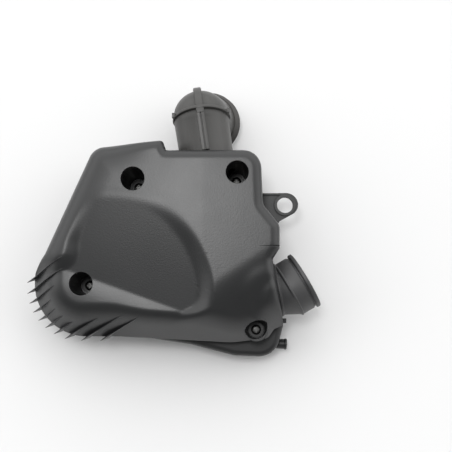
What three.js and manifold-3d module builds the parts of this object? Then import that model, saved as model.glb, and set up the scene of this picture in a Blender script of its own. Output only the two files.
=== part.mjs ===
// Air filter housing of a small two-stroke scooter engine, in millimetres, +Z up.
//
// The housing lies on the back of its rear case. +X points to the carburettor boot, +Y to the
// intake elbow and +Z out through the outer cover. All plan dimensions are given in a drawing
// frame, whose origin is beside the lower right screw; DATUM is the middle of the housing's
// footprint in that frame, and becomes the origin of the finished part.

import * as THREE from 'three';
import { mergeVertices } from 'three/addons/utils/BufferGeometryUtils.js';
import Module from 'manifold-3d';

const wasm = await Module();
wasm.setup();

// ---------------------------------------------------------------- driving dimensions

const DATUM = [-44.378, 78.531];

const WALL = 2.5;
const MIN_SLANT = 0.6;
const GAP = 0.3;

const BACK_Z = 2;
const PARTING_Z = 41;
const PLATEAU_Z = 85;
const SHOULDER_RADIUS = 13;
const SMALL_SHOULDER = 7.5;

// Corners of the outer cover's outline, clockwise from the lower left: x, y, corner radius.
const CENTRE = [-72, 45];
const COVER_CORNERS = [
  [-162.3, -20.5, 45], [-162.3, 31, 10], [-150, 48, 14], [-110.5, 136.5, 14], [-52.5, 141.3, 3],
  [-49.6, 133, 2], [28.6, 133, 15], [30.4, 88, 9], [44, 71, 9], [44, 52, 3], [38.2, 43, 3],
  [48.4, -11, 2], [40.5, -14.5, 4], [35.5, -22, 6], [5, -25.6, 60], [-90, -20.5, 30],
];

// The sump that bulges out of the case below the rim, at the lower right: outline of its flat
// floor, and the rounding by which its wall stands outside that outline.
const SUMP_CORNERS = [
  [-70, -8, 1], [-70, -16.6, 1], [-30, -22.7, 55], [8, -32.4, 21], [38.5, -33.6, 13],
  [45, -9, 2], [40, -8, 1],
];
const SUMP_TOP_Z = 31;
const SUMP_ROUNDING = 5;

// The scoop in the cover: its rim, and the straight crease between its floor and the wedge below.
const SCOOP_RIM = [
  [-190, 36], [-150, 38], [-131, 44], [-127, 60], [-120, 79], [-110, 95], [-97, 99], [-70, 95],
  [-48, 83], [-29, 62], [-17, 36], [-14, 14], [-20, 0], [-40, -14], [-80, -60], [-190, -60],
];
const CREASE_START = [-140.5, 37.7];
const CREASE_END = [-28.9, -2];
const CREASE_Z = 75.5;
const FLOOR_RISE = 0.11;
const WEDGE_RISE = 0.1;
const WEDGE_CROWN = 12;
const WEDGE_WIDTH = 26;
const RIM_WIDTH = 14;

// The plateau falls away to the left and towards the boot, and swells again over the boot.
const LEFT_FALL = 0.03;
const LEFT_ROLL = 0.004;
const LEFT_ROLL_WIDTH = 28;
const FALL_START = [2, 34];
const FALL_HEADING = [0.55, -0.83];
const FALL_SLOPE = 0.5;
const FALL_EASE = 18;
const BOOT_SWELLS = [
  { x: 35, y: 10, radius: 31, rise: 2.6, rim: 0.35 },
  { x: 45, y: 9, radius: 21, rise: 4, rim: 0.25 },
];

// The flank along the bottom and the lower left corner, which rolls over into the top.
const FLANK_FOOT_Z = 45;
const FLANK_RISE = 1.75;
const LEFT_FLANK_RISE = 1.4;
const FLANK_ROUNDING = 23;

// Where the rings of the cover's surface lie between its edge, 1, and its centre, 0.
const ROW_FRACTIONS = [1, 0.965, 0.91, 0.83, 0.73, 0.63, 0.53, 0.42, 0.25, 0];
const COVER_STEP = 14;
const CASE_STEP = 17;

// Screw wells: centre, mouth radius, underside, and the top of the tube's own round foot.
const DEEP_WELL_Z = 19.3;
const WELLS = [
  { x: -76.4, y: 108.7, radius: 10.1, bottomZ: DEEP_WELL_Z, footTopZ: PARTING_Z + 4 },
  { x: 9.2, y: 113.8, radius: 9.6, bottomZ: DEEP_WELL_Z, footTopZ: PARTING_Z + 4 },
  { x: -118.6, y: 23, radius: 10.2, bottomZ: DEEP_WELL_Z, footTopZ: PARTING_Z + 4 },
  { x: 25.4, y: -14.8, radius: 7.6, bottomZ: PARTING_Z + GAP, footTopZ: 53 },
];
const WELL_FLOOR = 3;
const WELL_FLOOR_RADIUS = 8;
const WELL_WALL = 2.2;
const WELL_DRAFT = 0.4;

const SCREW_HOLE_RADIUS = 3;
const SHANK_RADIUS = 2.4;
const SHANK_LENGTH = 17;
const HEAD_RADIUS = 4.2;
const HEAD_HEIGHT = 2.6;
const CROSS_RECESS = [2.3, 0.55];
const WASHER_RADIUS = 6.5;
const WASHER_THICKNESS = 1;
const BOSS_RADIUS = 5.5;
const PILOT_DEPTH = 14;

// Cooling-fin louvres at the lower left corner: evenly pitched blades, all at one angle.
const FIN_ANGLE = THREE.MathUtils.degToRad(30);
const FIN_FIRST_OFFSET = 105.8;
const FIN_PITCH = 8.19;
const FIN_RUNS = [43, 43, 32, 23, 21, 22, 22, 38, 46, 43];
const FIN_THICKNESS = 1.2;
const FIN_OVERHANG = 8;
const FIN_PROUD = 5;
const FIN_TIP_Z = 45.5;

// Carburettor boot: its axis leaves the housing wall at BOOT_LEAN and turns to BOOT_TURN.
const BOOT_CENTRE = [42.85, 18.4, 43];
const BOOT_LEAN = THREE.MathUtils.degToRad(10.7);
const BOOT_TURN = THREE.MathUtils.degToRad(30.4);
const BOOT_HOLE_RADIUS = 20;
const BOOT_FLANGE = 22.4;
const BOOT_RADIUS = 24.1;
const BOOT_LIP_RADIUS = 25.2;
const BOOT_BORE = 20;
const BOOT_CREASE = [53.25, 18.92, 43];
const BOOT_GROOVE = [12, 13.4];
const BOOT_GROOVE_DEPTH = 0.9;
const BOOT_LENGTH = 16.8;
const SLEEVE_REACH = [-10.5, 1.5];
const SLEEVE_WALL = 1.6;

// Intake elbow, clamped in the top wall, and the bellows that hangs from it.
const INTAKE_CENTRE = [-16.5, 133, 42];
const INTAKE_HOLE_RADIUS = 21.5;
const INTAKE_FLANGE = 23.2;
const ELBOW_RADIUS = 23;
const ELBOW_WALL = 2.2;
const ELBOW_TURN = [-21.5, 167, 41];
const DOME_RADIUS = 24;
const ELBOW_DROP = new THREE.Vector3(0.25, 0.04, -1).normalize();
const DROP_LENGTH = 23.2;
const MITRE_CENTRE = [-21, 166, 43.5];
const MITRE_AXIS = new THREE.Vector3(-0.1, 0.96, -0.26).normalize();
const MITRE_PROUD = 1.1;
const MITRE_LUG = [3.4, 4.4, 6];
const ELBOW_RIB_WIDTH = 6.5;
const ELBOW_RIB_PROUD = 3.2;
const BELLOWS_LENGTH = 11;
const BELLOWS_RADIUS = 27;
const BELLOWS_FOLDS = 3;

// Filter: a foam pad on a carrier grid, held down by a retainer grid.
const CARRIER_Z = 20;
const CARRIER_THICKNESS = 2;
const FOAM_THICKNESS = 20;
const RETAINER_THICKNESS = 2;
const FOAM_CORNERS = [[-139, 12, 12], [-139, 42, 8], [-108, 117, 12], [-8, 117, 9], [-8, 2, 9]];
const GRID_FIELD = [-100, -13, 9, 93];
const GRID_COLUMNS = 4;
const GRID_ROWS = 3;
const GRID_BAR = 4;
const RIM_LEDGE = 6;
const LEDGE_DEPTH = 5;
const SEAL_WIDTH = 2;
const SEAL_OUTSIDE = 2.2;
const SEAL_PLAY = 0.8;
const SEAL_HEIGHT = 2.3;
const CARRIER_POSTS = [[-128, 50], [-52, 118], [-60, 4], [-8, 60], [12, 20], [-98, 70]];

// Hood between the carrier and the boot.
const HOOD_LENGTH = 20;
const HOOD_HALF_WIDTH = 16.8;
const HOOD_WALL = 1.5;
const HOOD_INLET_RADIUS = 15.2;
const HOOD_TOP_Z = 59.8;
const HOOD_REACH = 12;

// Mounting lug, drain spout and the ribs across the back.
const LUG_CENTRE = [50.8, 91.7];
const LUG_HOLE_RADIUS = 6.9;
const LUG_RIM = 2.4;
const LUG_CORNERS = [
  [26, 101.9, 0.5], [58.8, 102.3, 10.5], [64.4, 88, 9], [46.3, 78, 2], [38, 66, 0.5], [26, 80, 0.5],
];
const LUG_PLATE_Z = [35.5, 39.2];
const LUG_LIP_Z = 33;
const SPOUT_START = [36, -27, 14];
const SPOUT_END = [53.2, -28.03, 14];
const SPOUT_RADIUS = 4.3;
const SPOUT_WALL = 1.6;
const SPOUT_BEAD = 0.5;
const RIB_WIDTH = 4;
const RIBS_ACROSS = [[-128, 26, 2], [-128, 26, 52], [-96, 14, 104]];
const RIBS_UPRIGHT = [[-98, 4, 106], [-44, 4, 106], [8, 4, 106]];
const EDGE_NUB = [[45, -9.5, 26], [51.6, -5.5, 35]];

// ---------------------------------------------------------------- materials

const finish = (colour, roughness, metalness = 0) => new THREE.MeshStandardMaterial({
  color: colour, roughness, metalness, flatShading: true,
});
const COVER_PLASTIC = finish(0x303133, 0.45);
const CASE_PLASTIC = finish(0x2a2b2c, 0.55);
const INNER_PLASTIC = finish(0x38393b, 0.6);
const BOOT_RUBBER = finish(0x1d1d1e, 0.8);
const ELBOW_PLASTIC = finish(0x3b3a38, 0.65);
const FOAM = finish(0x6d6a52, 0.95);
const STEEL = finish(0xb8b8b2, 0.35, 1);

// ---------------------------------------------------------------- solids from geometry

/** A closed geometry as a solid that can be joined and cut. */
function solid(geometry) {
  const bare = geometry.clone();
  bare.deleteAttribute('normal');
  bare.deleteAttribute('uv');
  const merged = mergeVertices(bare, 1e-4);
  const corners = merged.index.array;
  const triangles = [];
  for (let i = 0; i < corners.length; i += 3) {
    const [a, b, c] = corners.slice(i, i + 3);
    if (a !== b && b !== c && c !== a) triangles.push(a, b, c);
  }
  const vertProperties = Float32Array.from(merged.attributes.position.array);
  const triVerts = Uint32Array.from(triangles);
  return new wasm.Manifold(new wasm.Mesh({ numProp: 3, vertProperties, triVerts }));
}

/** The geometry of a finished solid. */
function geometryOf(body) {
  const { vertProperties, triVerts } = body.getMesh();
  const geometry = new THREE.BufferGeometry();
  geometry.setAttribute('position', new THREE.BufferAttribute(vertProperties, 3));
  geometry.setIndex(new THREE.BufferAttribute(triVerts, 1));
  return geometry;
}

const joined = (bodies) => bodies.reduce((whole, body) => whole.add(body));

/** A round-cornered outline from its corners: x, y, radius. */
function roundedOutline(corners) {
  const shape = new THREE.Shape();
  corners.forEach(([x, y, radius], i) => {
    const corner = new THREE.Vector2(x, y);
    const before = new THREE.Vector2(...corners.at(i - 1)).sub(corner).normalize();
    const after = new THREE.Vector2(...corners[(i + 1) % corners.length]).sub(corner).normalize();
    const half = before.angleTo(after) / 2;
    const start = corner.clone().addScaledVector(before, radius / Math.tan(half));
    const end = corner.clone().addScaledVector(after, radius / Math.tan(half));
    const toCentre = before.clone().add(after).setLength(radius / Math.sin(half));
    const centre = corner.clone().add(toCentre);
    const startAngle = start.clone().sub(centre).angle();
    const endAngle = end.clone().sub(centre).angle();
    const clockwise = before.cross(after) > 0;
    shape.absarc(centre.x, centre.y, radius, startAngle, endAngle, clockwise);
  });
  shape.closePath();
  return shape;
}

/** Points around an outline, about one step apart along its lines and arcs. */
function ringPoints(corners, step) {
  return roundedOutline(corners).curves.flatMap((curve) => {
    const pieces = Math.ceil(curve.getLength() / step);
    return curve.getPoints(pieces).slice(0, pieces);
  });
}

/** A ring whose edges lie a distance further in; each point moves on its ray to the centre. */
function insetRing(ring, distance) {
  const centre = new THREE.Vector2(...CENTRE);
  return ring.map((point, i) => {
    const along = ring[(i + 1) % ring.length].clone().sub(ring.at(i - 1)).normalize();
    const inward = centre.clone().sub(point).normalize();
    const slant = Math.max(MIN_SLANT, inward.x * along.y - inward.y * along.x);
    return point.clone().addScaledVector(inward, distance / slant);
  });
}

/** A closed body of rings: a turned section whose vertices are placed one by one. */
function ringBody(rowCount, segments, place) {
  const section = Array.from({ length: rowCount }, (_, row) => new THREE.Vector2(1, row));
  const geometry = new THREE.LatheGeometry(section, segments);
  const position = geometry.attributes.position;
  for (let i = 0; i < position.count; i += 1) {
    const segment = Math.floor(i / rowCount) % segments;
    position.setXYZ(i, ...place(i % rowCount, segment));
  }
  return geometry;
}

/** A geometry turned inside out when its faces point in. */
function facingOut(geometry) {
  const point = (i) => new THREE.Vector3().fromBufferAttribute(geometry.attributes.position, i);
  const { array } = geometry.index;
  let volume = 0;
  for (let i = 0; i < array.length; i += 3) {
    volume += point(array[i]).dot(point(array[i + 1]).cross(point(array[i + 2])));
  }
  if (volume < 0) array.reverse();
  return geometry;
}

/** Rows of closed rings, from a point below to a point above. */
function stackedSolid(rows) {
  const segments = rows.find((row) => row.length > 1).length;
  const place = (row, segment) => rows[row][segment % rows[row].length];
  return solid(facingOut(ringBody(rows.length, segments, place)));
}

/** A tube through round stations, whose outer and inner rows close on each other. */
function tubeSolid(stations, segments) {
  const closed = [...stations, stations[0]];
  const place = (row, segment) => {
    const { centre, across, up, radius } = closed[row];
    const angle = (2 * Math.PI * segment) / segments;
    return new THREE.Vector3(...centre)
      .addScaledVector(across, radius * Math.cos(angle))
      .addScaledVector(up, radius * Math.sin(angle)).toArray();
  };
  return solid(facingOut(ringBody(closed.length, segments, place)));
}

/** An upright plate with a rounded outline. */
function extruded(corners, lowZ, highZ) {
  const options = { depth: highZ - lowZ, bevelEnabled: false, curveSegments: 4 };
  const geometry = new THREE.ExtrudeGeometry(roundedOutline(corners), options);
  return solid(geometry.translate(0, 0, lowZ));
}

function box(low, high) {
  const size = high.map((value, i) => value - low[i]);
  const middle = high.map((value, i) => (value + low[i]) / 2);
  return solid(new THREE.BoxGeometry(...size).translate(...middle));
}

/** An upright round body at x, y, from lowZ to highZ. */
function post(x, y, lowZ, highZ, lowRadius, highRadius = lowRadius, segments = 16) {
  const geometry = new THREE.CylinderGeometry(highRadius, lowRadius, highZ - lowZ, segments);
  return solid(geometry.rotateX(Math.PI / 2).translate(x, y, (lowZ + highZ) / 2));
}

/** A round body between two points. */
function rod(from, to, radius, segments = 20) {
  const start = new THREE.Vector3(...from);
  const span = new THREE.Vector3(...to).sub(start);
  const geometry = new THREE.CylinderGeometry(radius, radius, span.length(), segments);
  const turn = new THREE.Quaternion().setFromUnitVectors(
    new THREE.Vector3(0, 1, 0), span.clone().normalize(),
  );
  geometry.applyQuaternion(turn);
  return solid(geometry.translate(...start.addScaledVector(span, 0.5).toArray()));
}

// ---------------------------------------------------------------- the cover's surface

const clamp01 = (value) => Math.min(1, Math.max(0, value));
const smoothStep = (value) => clamp01(value) ** 2 * (3 - 2 * clamp01(value));
const mix = (a, b, share) => a + (b - a) * share;

/** The lower of two heights, rounded where they cross. */
function softLower(a, b, width) {
  const share = clamp01(0.5 + (b - a) / (2 * width));
  return mix(b, a, share) - width * share * (1 - share);
}

/** Distance from x, y to an open or closed run of points. */
function distanceTo(run, x, y, closed) {
  const point = new THREE.Vector3(x, y, 0);
  const nearest = new THREE.Vector3();
  const line = new THREE.Line3();
  let distance = Infinity;
  for (let i = closed ? 0 : 1; i < run.length; i += 1) {
    line.start.set(run.at(i - 1).x, run.at(i - 1).y, 0);
    line.end.set(run[i].x, run[i].y, 0);
    line.closestPointToPoint(point, true, nearest);
    distance = Math.min(distance, nearest.distanceTo(point));
  }
  return distance;
}

function isInside(ring, x, y) {
  let inside = false;
  ring.forEach((a, i) => {
    const b = ring.at(i - 1);
    if ((a.y > y) !== (b.y > y) && x < ((b.x - a.x) * (y - a.y)) / (b.y - a.y) + a.x) {
      inside = !inside;
    }
  });
  return inside;
}

const COVER_RING = ringPoints(COVER_CORNERS, COVER_STEP);
const RIM_RING = ringPoints(COVER_CORNERS, CASE_STEP);
const SCOOP_RING = new THREE.SplineCurve(SCOOP_RIM.map(([x, y]) => new THREE.Vector2(x, y)))
  .getPoints(60);

/** The edge points that pass a test, in order, as one open run. */
function edgeRun(test) {
  const points = COVER_RING.filter(test);
  const jump = points.findIndex((point, i) => i > 0 && point.distanceTo(points[i - 1]) > 20);
  return jump < 0 ? points : [...points.slice(jump), ...points.slice(0, jump)];
}
const onBootSide = (point) => point.x > 38 && point.y > -11;
const LOWER_RUN = edgeRun((point) => point.y < 31 && !onBootSide(point));
const UPPER_RUN = edgeRun((point) => point.y > 28 || onBootSide(point));

/** Height of the plateau, with its falls and swells. */
function plateau(x, y) {
  const beyond = (x - FALL_START[0]) * FALL_HEADING[0] + (y - FALL_START[1]) * FALL_HEADING[1];
  const eased = (FALL_EASE * clamp01(beyond / FALL_EASE) ** 2) / 2;
  const fall = FALL_SLOPE * (Math.max(0, beyond - FALL_EASE) + eased);
  const swells = BOOT_SWELLS.map((swell) => {
    const away = Math.hypot(x - swell.x, y - swell.y) / swell.radius;
    return swell.rise * smoothStep((1 - away) / swell.rim);
  });
  return PLATEAU_Z - LEFT_FALL * Math.max(0, -20 - x) - fall + swells[0] + swells[1];
}

/** Height of the scoop's floor and of the wedge below its crease. */
function scoop(x, y) {
  const start = new THREE.Vector2(...CREASE_START);
  const along = new THREE.Vector2(...CREASE_END).sub(start).normalize();
  const above = along.cross(new THREE.Vector2(x, y).sub(start));
  if (above > 0) return CREASE_Z + FLOOR_RISE * above;
  const below = Math.min(WEDGE_WIDTH, -above);
  return CREASE_Z + WEDGE_RISE * below * (1 - below / (2 * WEDGE_CROWN));
}

/** Height of the cover's outer surface. */
function coverHeight(x, y) {
  const side = isInside(SCOOP_RING, x, y) ? 1 : -1;
  const rimDistance = side * distanceTo(SCOOP_RING, x, y, true);
  const top = mix(plateau(x, y), scoop(x, y), smoothStep(0.35 + rimDistance / RIM_WIDTH));

  const fromUpper = distanceTo(UPPER_RUN, x, y, false);
  const onLeft = smoothStep((-60 - x) / 40);
  const rolled = top - onLeft * LEFT_ROLL * Math.max(0, LEFT_ROLL_WIDTH - fromUpper) ** 2;
  const radius = mix(SHOULDER_RADIUS, SMALL_SHOULDER, smoothStep((x + 110) / 50));
  const edge = Math.min(radius, fromUpper);
  const shouldered = rolled - radius + Math.sqrt(radius ** 2 - (radius - edge) ** 2);

  const rise = mix(FLANK_RISE, LEFT_FLANK_RISE, onLeft);
  const flank = FLANK_FOOT_Z + rise * distanceTo(LOWER_RUN, x, y, false);
  return softLower(shouldered, flank, FLANK_ROUNDING);
}

/** Height of the cover's inner surface: at least one wall below and beside the outer one. */
function cavityHeight(x, y) {
  const beside = [[0, 0], [WALL, 0], [-WALL, 0], [0, WALL], [0, -WALL]];
  return Math.min(...beside.map(([dx, dy]) => coverHeight(x + dx, y + dy))) - WALL;
}

/** Rows that cover a ring with a height, from its edge to its centre. */
function cappedRows(ring, height) {
  const [cx, cy] = CENTRE;
  return ROW_FRACTIONS.map((fraction) => {
    if (fraction === 0) return [[cx, cy, height(cx, cy)]];
    return ring.map((point) => {
      const x = mix(cx, point.x, fraction);
      const y = mix(cy, point.y, fraction);
      return [x, y, height(x, y)];
    });
  });
}
const flatRow = (ring, z) => ring.map((point) => [point.x, point.y, z]);
const centrePoint = (z) => [[...CENTRE, z]];

// ---------------------------------------------------------------- port geometry

/** Directions at a port: out of the housing, across it in plan, and up. */
function portFrame(lean) {
  return {
    out: new THREE.Vector3(Math.cos(lean), Math.sin(lean), 0),
    across: new THREE.Vector3(-Math.sin(lean), Math.cos(lean), 0),
    up: new THREE.Vector3(0, 0, 1),
  };
}
const along = (from, direction, distance) =>
  new THREE.Vector3(...from).addScaledVector(direction, distance).toArray();

const BOOT_PORT = portFrame(BOOT_LEAN);
const INTAKE_OUT = new THREE.Vector3(0, 1, 0);

/** A port: the hole through the wall, and room for the flange inside it. */
function portCut(centre, out, holeRadius, flangeRadius) {
  const hole = rod(along(centre, out, -14), along(centre, out, 12), holeRadius);
  return hole.add(rod(along(centre, out, -14), along(centre, out, -WALL), flangeRadius));
}
const bootCut = portCut(BOOT_CENTRE, BOOT_PORT.out, BOOT_HOLE_RADIUS + GAP, BOOT_FLANGE + 1);
const intakeCut = portCut(INTAKE_CENTRE, INTAKE_OUT, INTAKE_HOLE_RADIUS + GAP, INTAKE_FLANGE + 1);

// ---------------------------------------------------------------- outer cover

/** One louvre: a thin upright blade that grows out of the flank and ends in a point. */
function fin(index) {
  const offset = FIN_FIRST_OFFSET - index * FIN_PITCH;
  const inward = new THREE.Vector2(Math.cos(FIN_ANGLE), Math.sin(FIN_ANGLE));
  const base = new THREE.Vector2(-inward.y, inward.x).multiplyScalar(offset);
  const at = (run) => base.clone().addScaledVector(inward, run);
  let edge = -170;
  while (!isInside(COVER_RING, at(edge).x, at(edge).y)) edge += 0.5;

  const run = FIN_RUNS[index];
  const outline = new THREE.Shape();
  outline.moveTo(edge - FIN_OVERHANG, FIN_TIP_Z);
  const steps = 6;
  for (let k = 0; k <= steps; k += 1) {
    const share = k / steps;
    const reach = edge + mix(0.5, run - FIN_OVERHANG, share);
    const spot = at(reach);
    const proud = FIN_PROUD * (1 - share) ** 0.8 + mix(2, -1, share);
    outline.lineTo(reach, coverHeight(spot.x, spot.y) + proud);
  }
  outline.lineTo(edge + run - FIN_OVERHANG, PARTING_Z + 4);
  outline.lineTo(edge, PARTING_Z + 2);
  const blade = new THREE.ExtrudeGeometry(outline, { depth: FIN_THICKNESS, bevelEnabled: false });
  blade.translate(0, 0, -FIN_THICKNESS / 2).rotateX(Math.PI / 2).rotateZ(FIN_ANGLE);
  return solid(blade.translate(base.x, base.y, 0));
}

/** The tube of one screw well, and the bore down it. */
function well({ x, y, radius, bottomZ, footTopZ }, envelope) {
  const top = PLATEAU_Z + 10;
  const outer = radius + WELL_WALL;
  const floorRadius = Math.min(WELL_FLOOR_RADIUS, radius - WELL_DRAFT);
  const tube = post(x, y, PARTING_Z + 1, top, outer, outer, 20).intersect(envelope)
    .add(post(x, y, bottomZ, footTopZ, floorRadius + WELL_WALL, outer, 20));
  const bore = post(x, y, bottomZ + WELL_FLOOR, top, floorRadius, radius, 20)
    .add(post(x, y, bottomZ - 2, top, SCREW_HOLE_RADIUS, SCREW_HOLE_RADIUS, 12));
  return { tube, bore };
}

function outerCover() {
  const floorZ = PARTING_Z + GAP;
  const envelope = stackedSolid([
    centrePoint(floorZ), flatRow(COVER_RING, floorZ),
    ...cappedRows(COVER_RING, coverHeight),
  ]);
  const innerRing = insetRing(COVER_RING, WALL);
  const cavity = stackedSolid([
    centrePoint(floorZ - 5), flatRow(innerRing, floorZ - 5),
    ...cappedRows(innerRing, cavityHeight),
  ]);
  const fins = FIN_RUNS.map((_, index) => fin(index));
  let body = joined([envelope, ...fins]).subtract(cavity);
  const wells = WELLS.map((place) => well(place, envelope));
  wells.forEach(({ tube }) => { body = body.add(tube); });
  wells.forEach(({ bore }) => { body = body.subtract(bore); });
  return body.subtract(bootCut).subtract(intakeCut);
}

// ---------------------------------------------------------------- rear case

/** The ledge inside the case's rim. */
function rimLedge() {
  const outer = insetRing(RIM_RING, WALL - 0.5);
  const inner = insetRing(RIM_RING, RIM_LEDGE);
  return ringBand(outer, inner, PARTING_Z - LEDGE_DEPTH, PARTING_Z);
}

/** A band between two rings of the same point count. */
function ringBand(outer, inner, lowZ, highZ) {
  const rows = [
    flatRow(outer, lowZ), flatRow(outer, highZ), flatRow(inner, highZ), flatRow(inner, lowZ),
    flatRow(outer, lowZ),
  ];
  return solid(facingOut(ringBody(rows.length, outer.length, (row, segment) =>
    rows[row][segment])));
}

function sealGroove() {
  const outer = insetRing(RIM_RING, SEAL_OUTSIDE - SEAL_PLAY);
  const inner = insetRing(RIM_RING, SEAL_OUTSIDE + SEAL_WIDTH + SEAL_PLAY);
  return ringBand(outer, inner, PARTING_Z - SEAL_HEIGHT - GAP, PARTING_Z + 1);
}

/** The mounting lug: an eye with a raised rim, and a stiffening lip along its upper edge. */
function mountingLug() {
  const [x, y] = LUG_CENTRE;
  const [rootX, lipY] = LUG_CORNERS[0];
  const eyeRim = post(x, y, LUG_LIP_Z + 1, PARTING_Z, LUG_HOLE_RADIUS + LUG_RIM);
  const lip = box([rootX, lipY - 1.6, LUG_LIP_Z], [x, lipY, PARTING_Z]);
  return joined([extruded(LUG_CORNERS, ...LUG_PLATE_Z), eyeRim, lip]);
}

/** The drain spout that leaves the sump, with a bead at its end. */
function drainSpout() {
  const start = new THREE.Vector3(...SPOUT_START);
  const end = new THREE.Vector3(...SPOUT_END);
  const out = end.clone().sub(start).normalize();
  const bead = rod(along(SPOUT_END, out, -1.8), SPOUT_END, SPOUT_RADIUS + SPOUT_BEAD);
  return {
    tube: rod(SPOUT_START, SPOUT_END, SPOUT_RADIUS).add(bead),
    bore: rod(along(SPOUT_START, out, -6), along(SPOUT_END, out, 3), SPOUT_RADIUS - SPOUT_WALL, 16),
  };
}

/** Ribs across the back that the housing lies on. */
function backRibs() {
  const across = RIBS_ACROSS.map(([left, right, y]) =>
    box([left, y, 0], [right, y + RIB_WIDTH, BACK_Z + 1]));
  const upright = RIBS_UPRIGHT.map(([x, low, high]) =>
    box([x, low, 0], [x + RIB_WIDTH, high, BACK_Z + 1]));
  return joined([...across, ...upright]);
}

/** The sump, rounded above and below, with its surface moved inward. */
function sump(inset) {
  const geometry = new THREE.ExtrudeGeometry(roundedOutline(SUMP_CORNERS), {
    depth: SUMP_TOP_Z - BACK_Z - 2 * SUMP_ROUNDING,
    bevelThickness: SUMP_ROUNDING - inset,
    bevelSize: SUMP_ROUNDING - inset,
    bevelSegments: 2,
    curveSegments: 4,
  });
  return solid(geometry.translate(0, 0, BACK_Z + SUMP_ROUNDING));
}

function rearCase() {
  const body = stackedSolid([
    centrePoint(BACK_Z), flatRow(insetRing(RIM_RING, 7), BACK_Z),
    flatRow(insetRing(RIM_RING, 2.4), BACK_Z + 2.2), flatRow(RIM_RING, BACK_Z + 7),
    flatRow(RIM_RING, PARTING_Z), centrePoint(PARTING_Z),
  ]);
  const cavity = stackedSolid([
    centrePoint(BACK_Z + WALL), flatRow(insetRing(RIM_RING, 9), BACK_Z + WALL),
    flatRow(insetRing(RIM_RING, WALL), BACK_Z + 8.5),
    flatRow(insetRing(RIM_RING, WALL), PARTING_Z + 2), centrePoint(PARTING_Z + 2),
  ]);
  const spout = drainSpout();
  const bosses = WELLS.map(({ x, y, bottomZ }) =>
    post(x, y, BACK_Z + 1, bottomZ - GAP, BOSS_RADIUS + 1, BOSS_RADIUS));
  const pilots = WELLS.map(({ x, y, bottomZ }) =>
    rod([x, y, bottomZ - GAP - PILOT_DEPTH], [x, y, bottomZ + 1], SHANK_RADIUS + GAP, 10));
  const posts = CARRIER_POSTS.map(([x, y]) => post(x, y, BACK_Z + 1, CARRIER_Z - GAP, 4, 3, 12));
  const [eyeX, eyeY] = LUG_CENTRE;
  const eye = post(eyeX, eyeY, PARTING_Z - 9, PARTING_Z + 4, LUG_HOLE_RADIUS);
  const shell = joined([body, sump(0), spout.tube, mountingLug(), backRibs(), box(...EDGE_NUB)])
    .subtract(cavity).subtract(sump(WALL));
  const filled = joined([shell, rimLedge(), ...bosses, ...posts]);
  const cut = joined([spout.bore, eye, ...pilots]);
  return filled.subtract(cut).subtract(sealGroove()).subtract(bootCut).subtract(intakeCut);
}

// ---------------------------------------------------------------- seals

/** Everything on the upper right of the line through both ports. */
function upperRightSide() {
  const from = new THREE.Vector2(INTAKE_CENTRE[0], INTAKE_CENTRE[1]);
  const to = new THREE.Vector2(BOOT_CENTRE[0], BOOT_CENTRE[1]);
  const heading = to.clone().sub(from).angle();
  const side = new THREE.BoxGeometry(400, 200, 100).translate(0, 100, 0).rotateZ(heading);
  return solid(side.translate(from.x, from.y, PARTING_Z));
}

/** The cord seal in the rim groove, which the two ports part into a long and a short run. */
function rimSeals() {
  const outer = insetRing(RIM_RING, SEAL_OUTSIDE);
  const inner = insetRing(RIM_RING, SEAL_OUTSIDE + SEAL_WIDTH);
  const loop = ringBand(outer, inner, PARTING_Z - SEAL_HEIGHT, PARTING_Z)
    .subtract(rod(
      along(BOOT_CENTRE, BOOT_PORT.out, -16), along(BOOT_CENTRE, BOOT_PORT.out, 12),
      BOOT_RADIUS,
    ))
    .subtract(rod(
      along(INTAKE_CENTRE, INTAKE_OUT, -16), along(INTAKE_CENTRE, INTAKE_OUT, 8),
      ELBOW_RADIUS + 1.5,
    ));
  const side = upperRightSide();
  return { long: loop.subtract(side), short: loop.intersect(side) };
}

// ---------------------------------------------------------------- filter

const FOAM_Z = CARRIER_Z + CARRIER_THICKNESS + GAP;
const RETAINER_Z = FOAM_Z + FOAM_THICKNESS + GAP;

/** Window openings in a grid, from below lowZ to above highZ. */
function gridWindows(lowZ, highZ) {
  const [left, right, bottom, top] = GRID_FIELD;
  const width = (right - left - GRID_BAR * (GRID_COLUMNS - 1)) / GRID_COLUMNS;
  const height = (top - bottom - GRID_BAR * (GRID_ROWS - 1)) / GRID_ROWS;
  const windows = [];
  for (let column = 0; column < GRID_COLUMNS; column += 1) {
    for (let row = 0; row < GRID_ROWS; row += 1) {
      const x = left + column * (width + GRID_BAR);
      const y = bottom + row * (height + GRID_BAR);
      windows.push(box([x, y, lowZ - 1], [x + width, y + height, highZ + 1]));
    }
  }
  return windows;
}

/** Clearance around the well tubes, through the filter's pieces. */
function tubeClearance(lowZ, highZ) {
  return joined(WELLS.map(({ x, y, radius }) =>
    post(x, y, lowZ - 2, highZ + 2, radius + WELL_WALL + 0.8)));
}

/** Plan corners of a box on the boot's axis, from the port inward. */
function hoodCorners(clear) {
  const near = -HOOD_REACH - clear;
  const far = -HOOD_REACH - HOOD_LENGTH + clear;
  return [[near, -1], [far, -1], [far, 1], [near, 1]].map(([reach, side]) => {
    const spot = new THREE.Vector3(BOOT_CENTRE[0], BOOT_CENTRE[1], 0)
      .addScaledVector(BOOT_PORT.out, reach)
      .addScaledVector(BOOT_PORT.across, side * (HOOD_HALF_WIDTH - clear));
    return [spot.x, spot.y, 1.5];
  });
}

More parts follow.
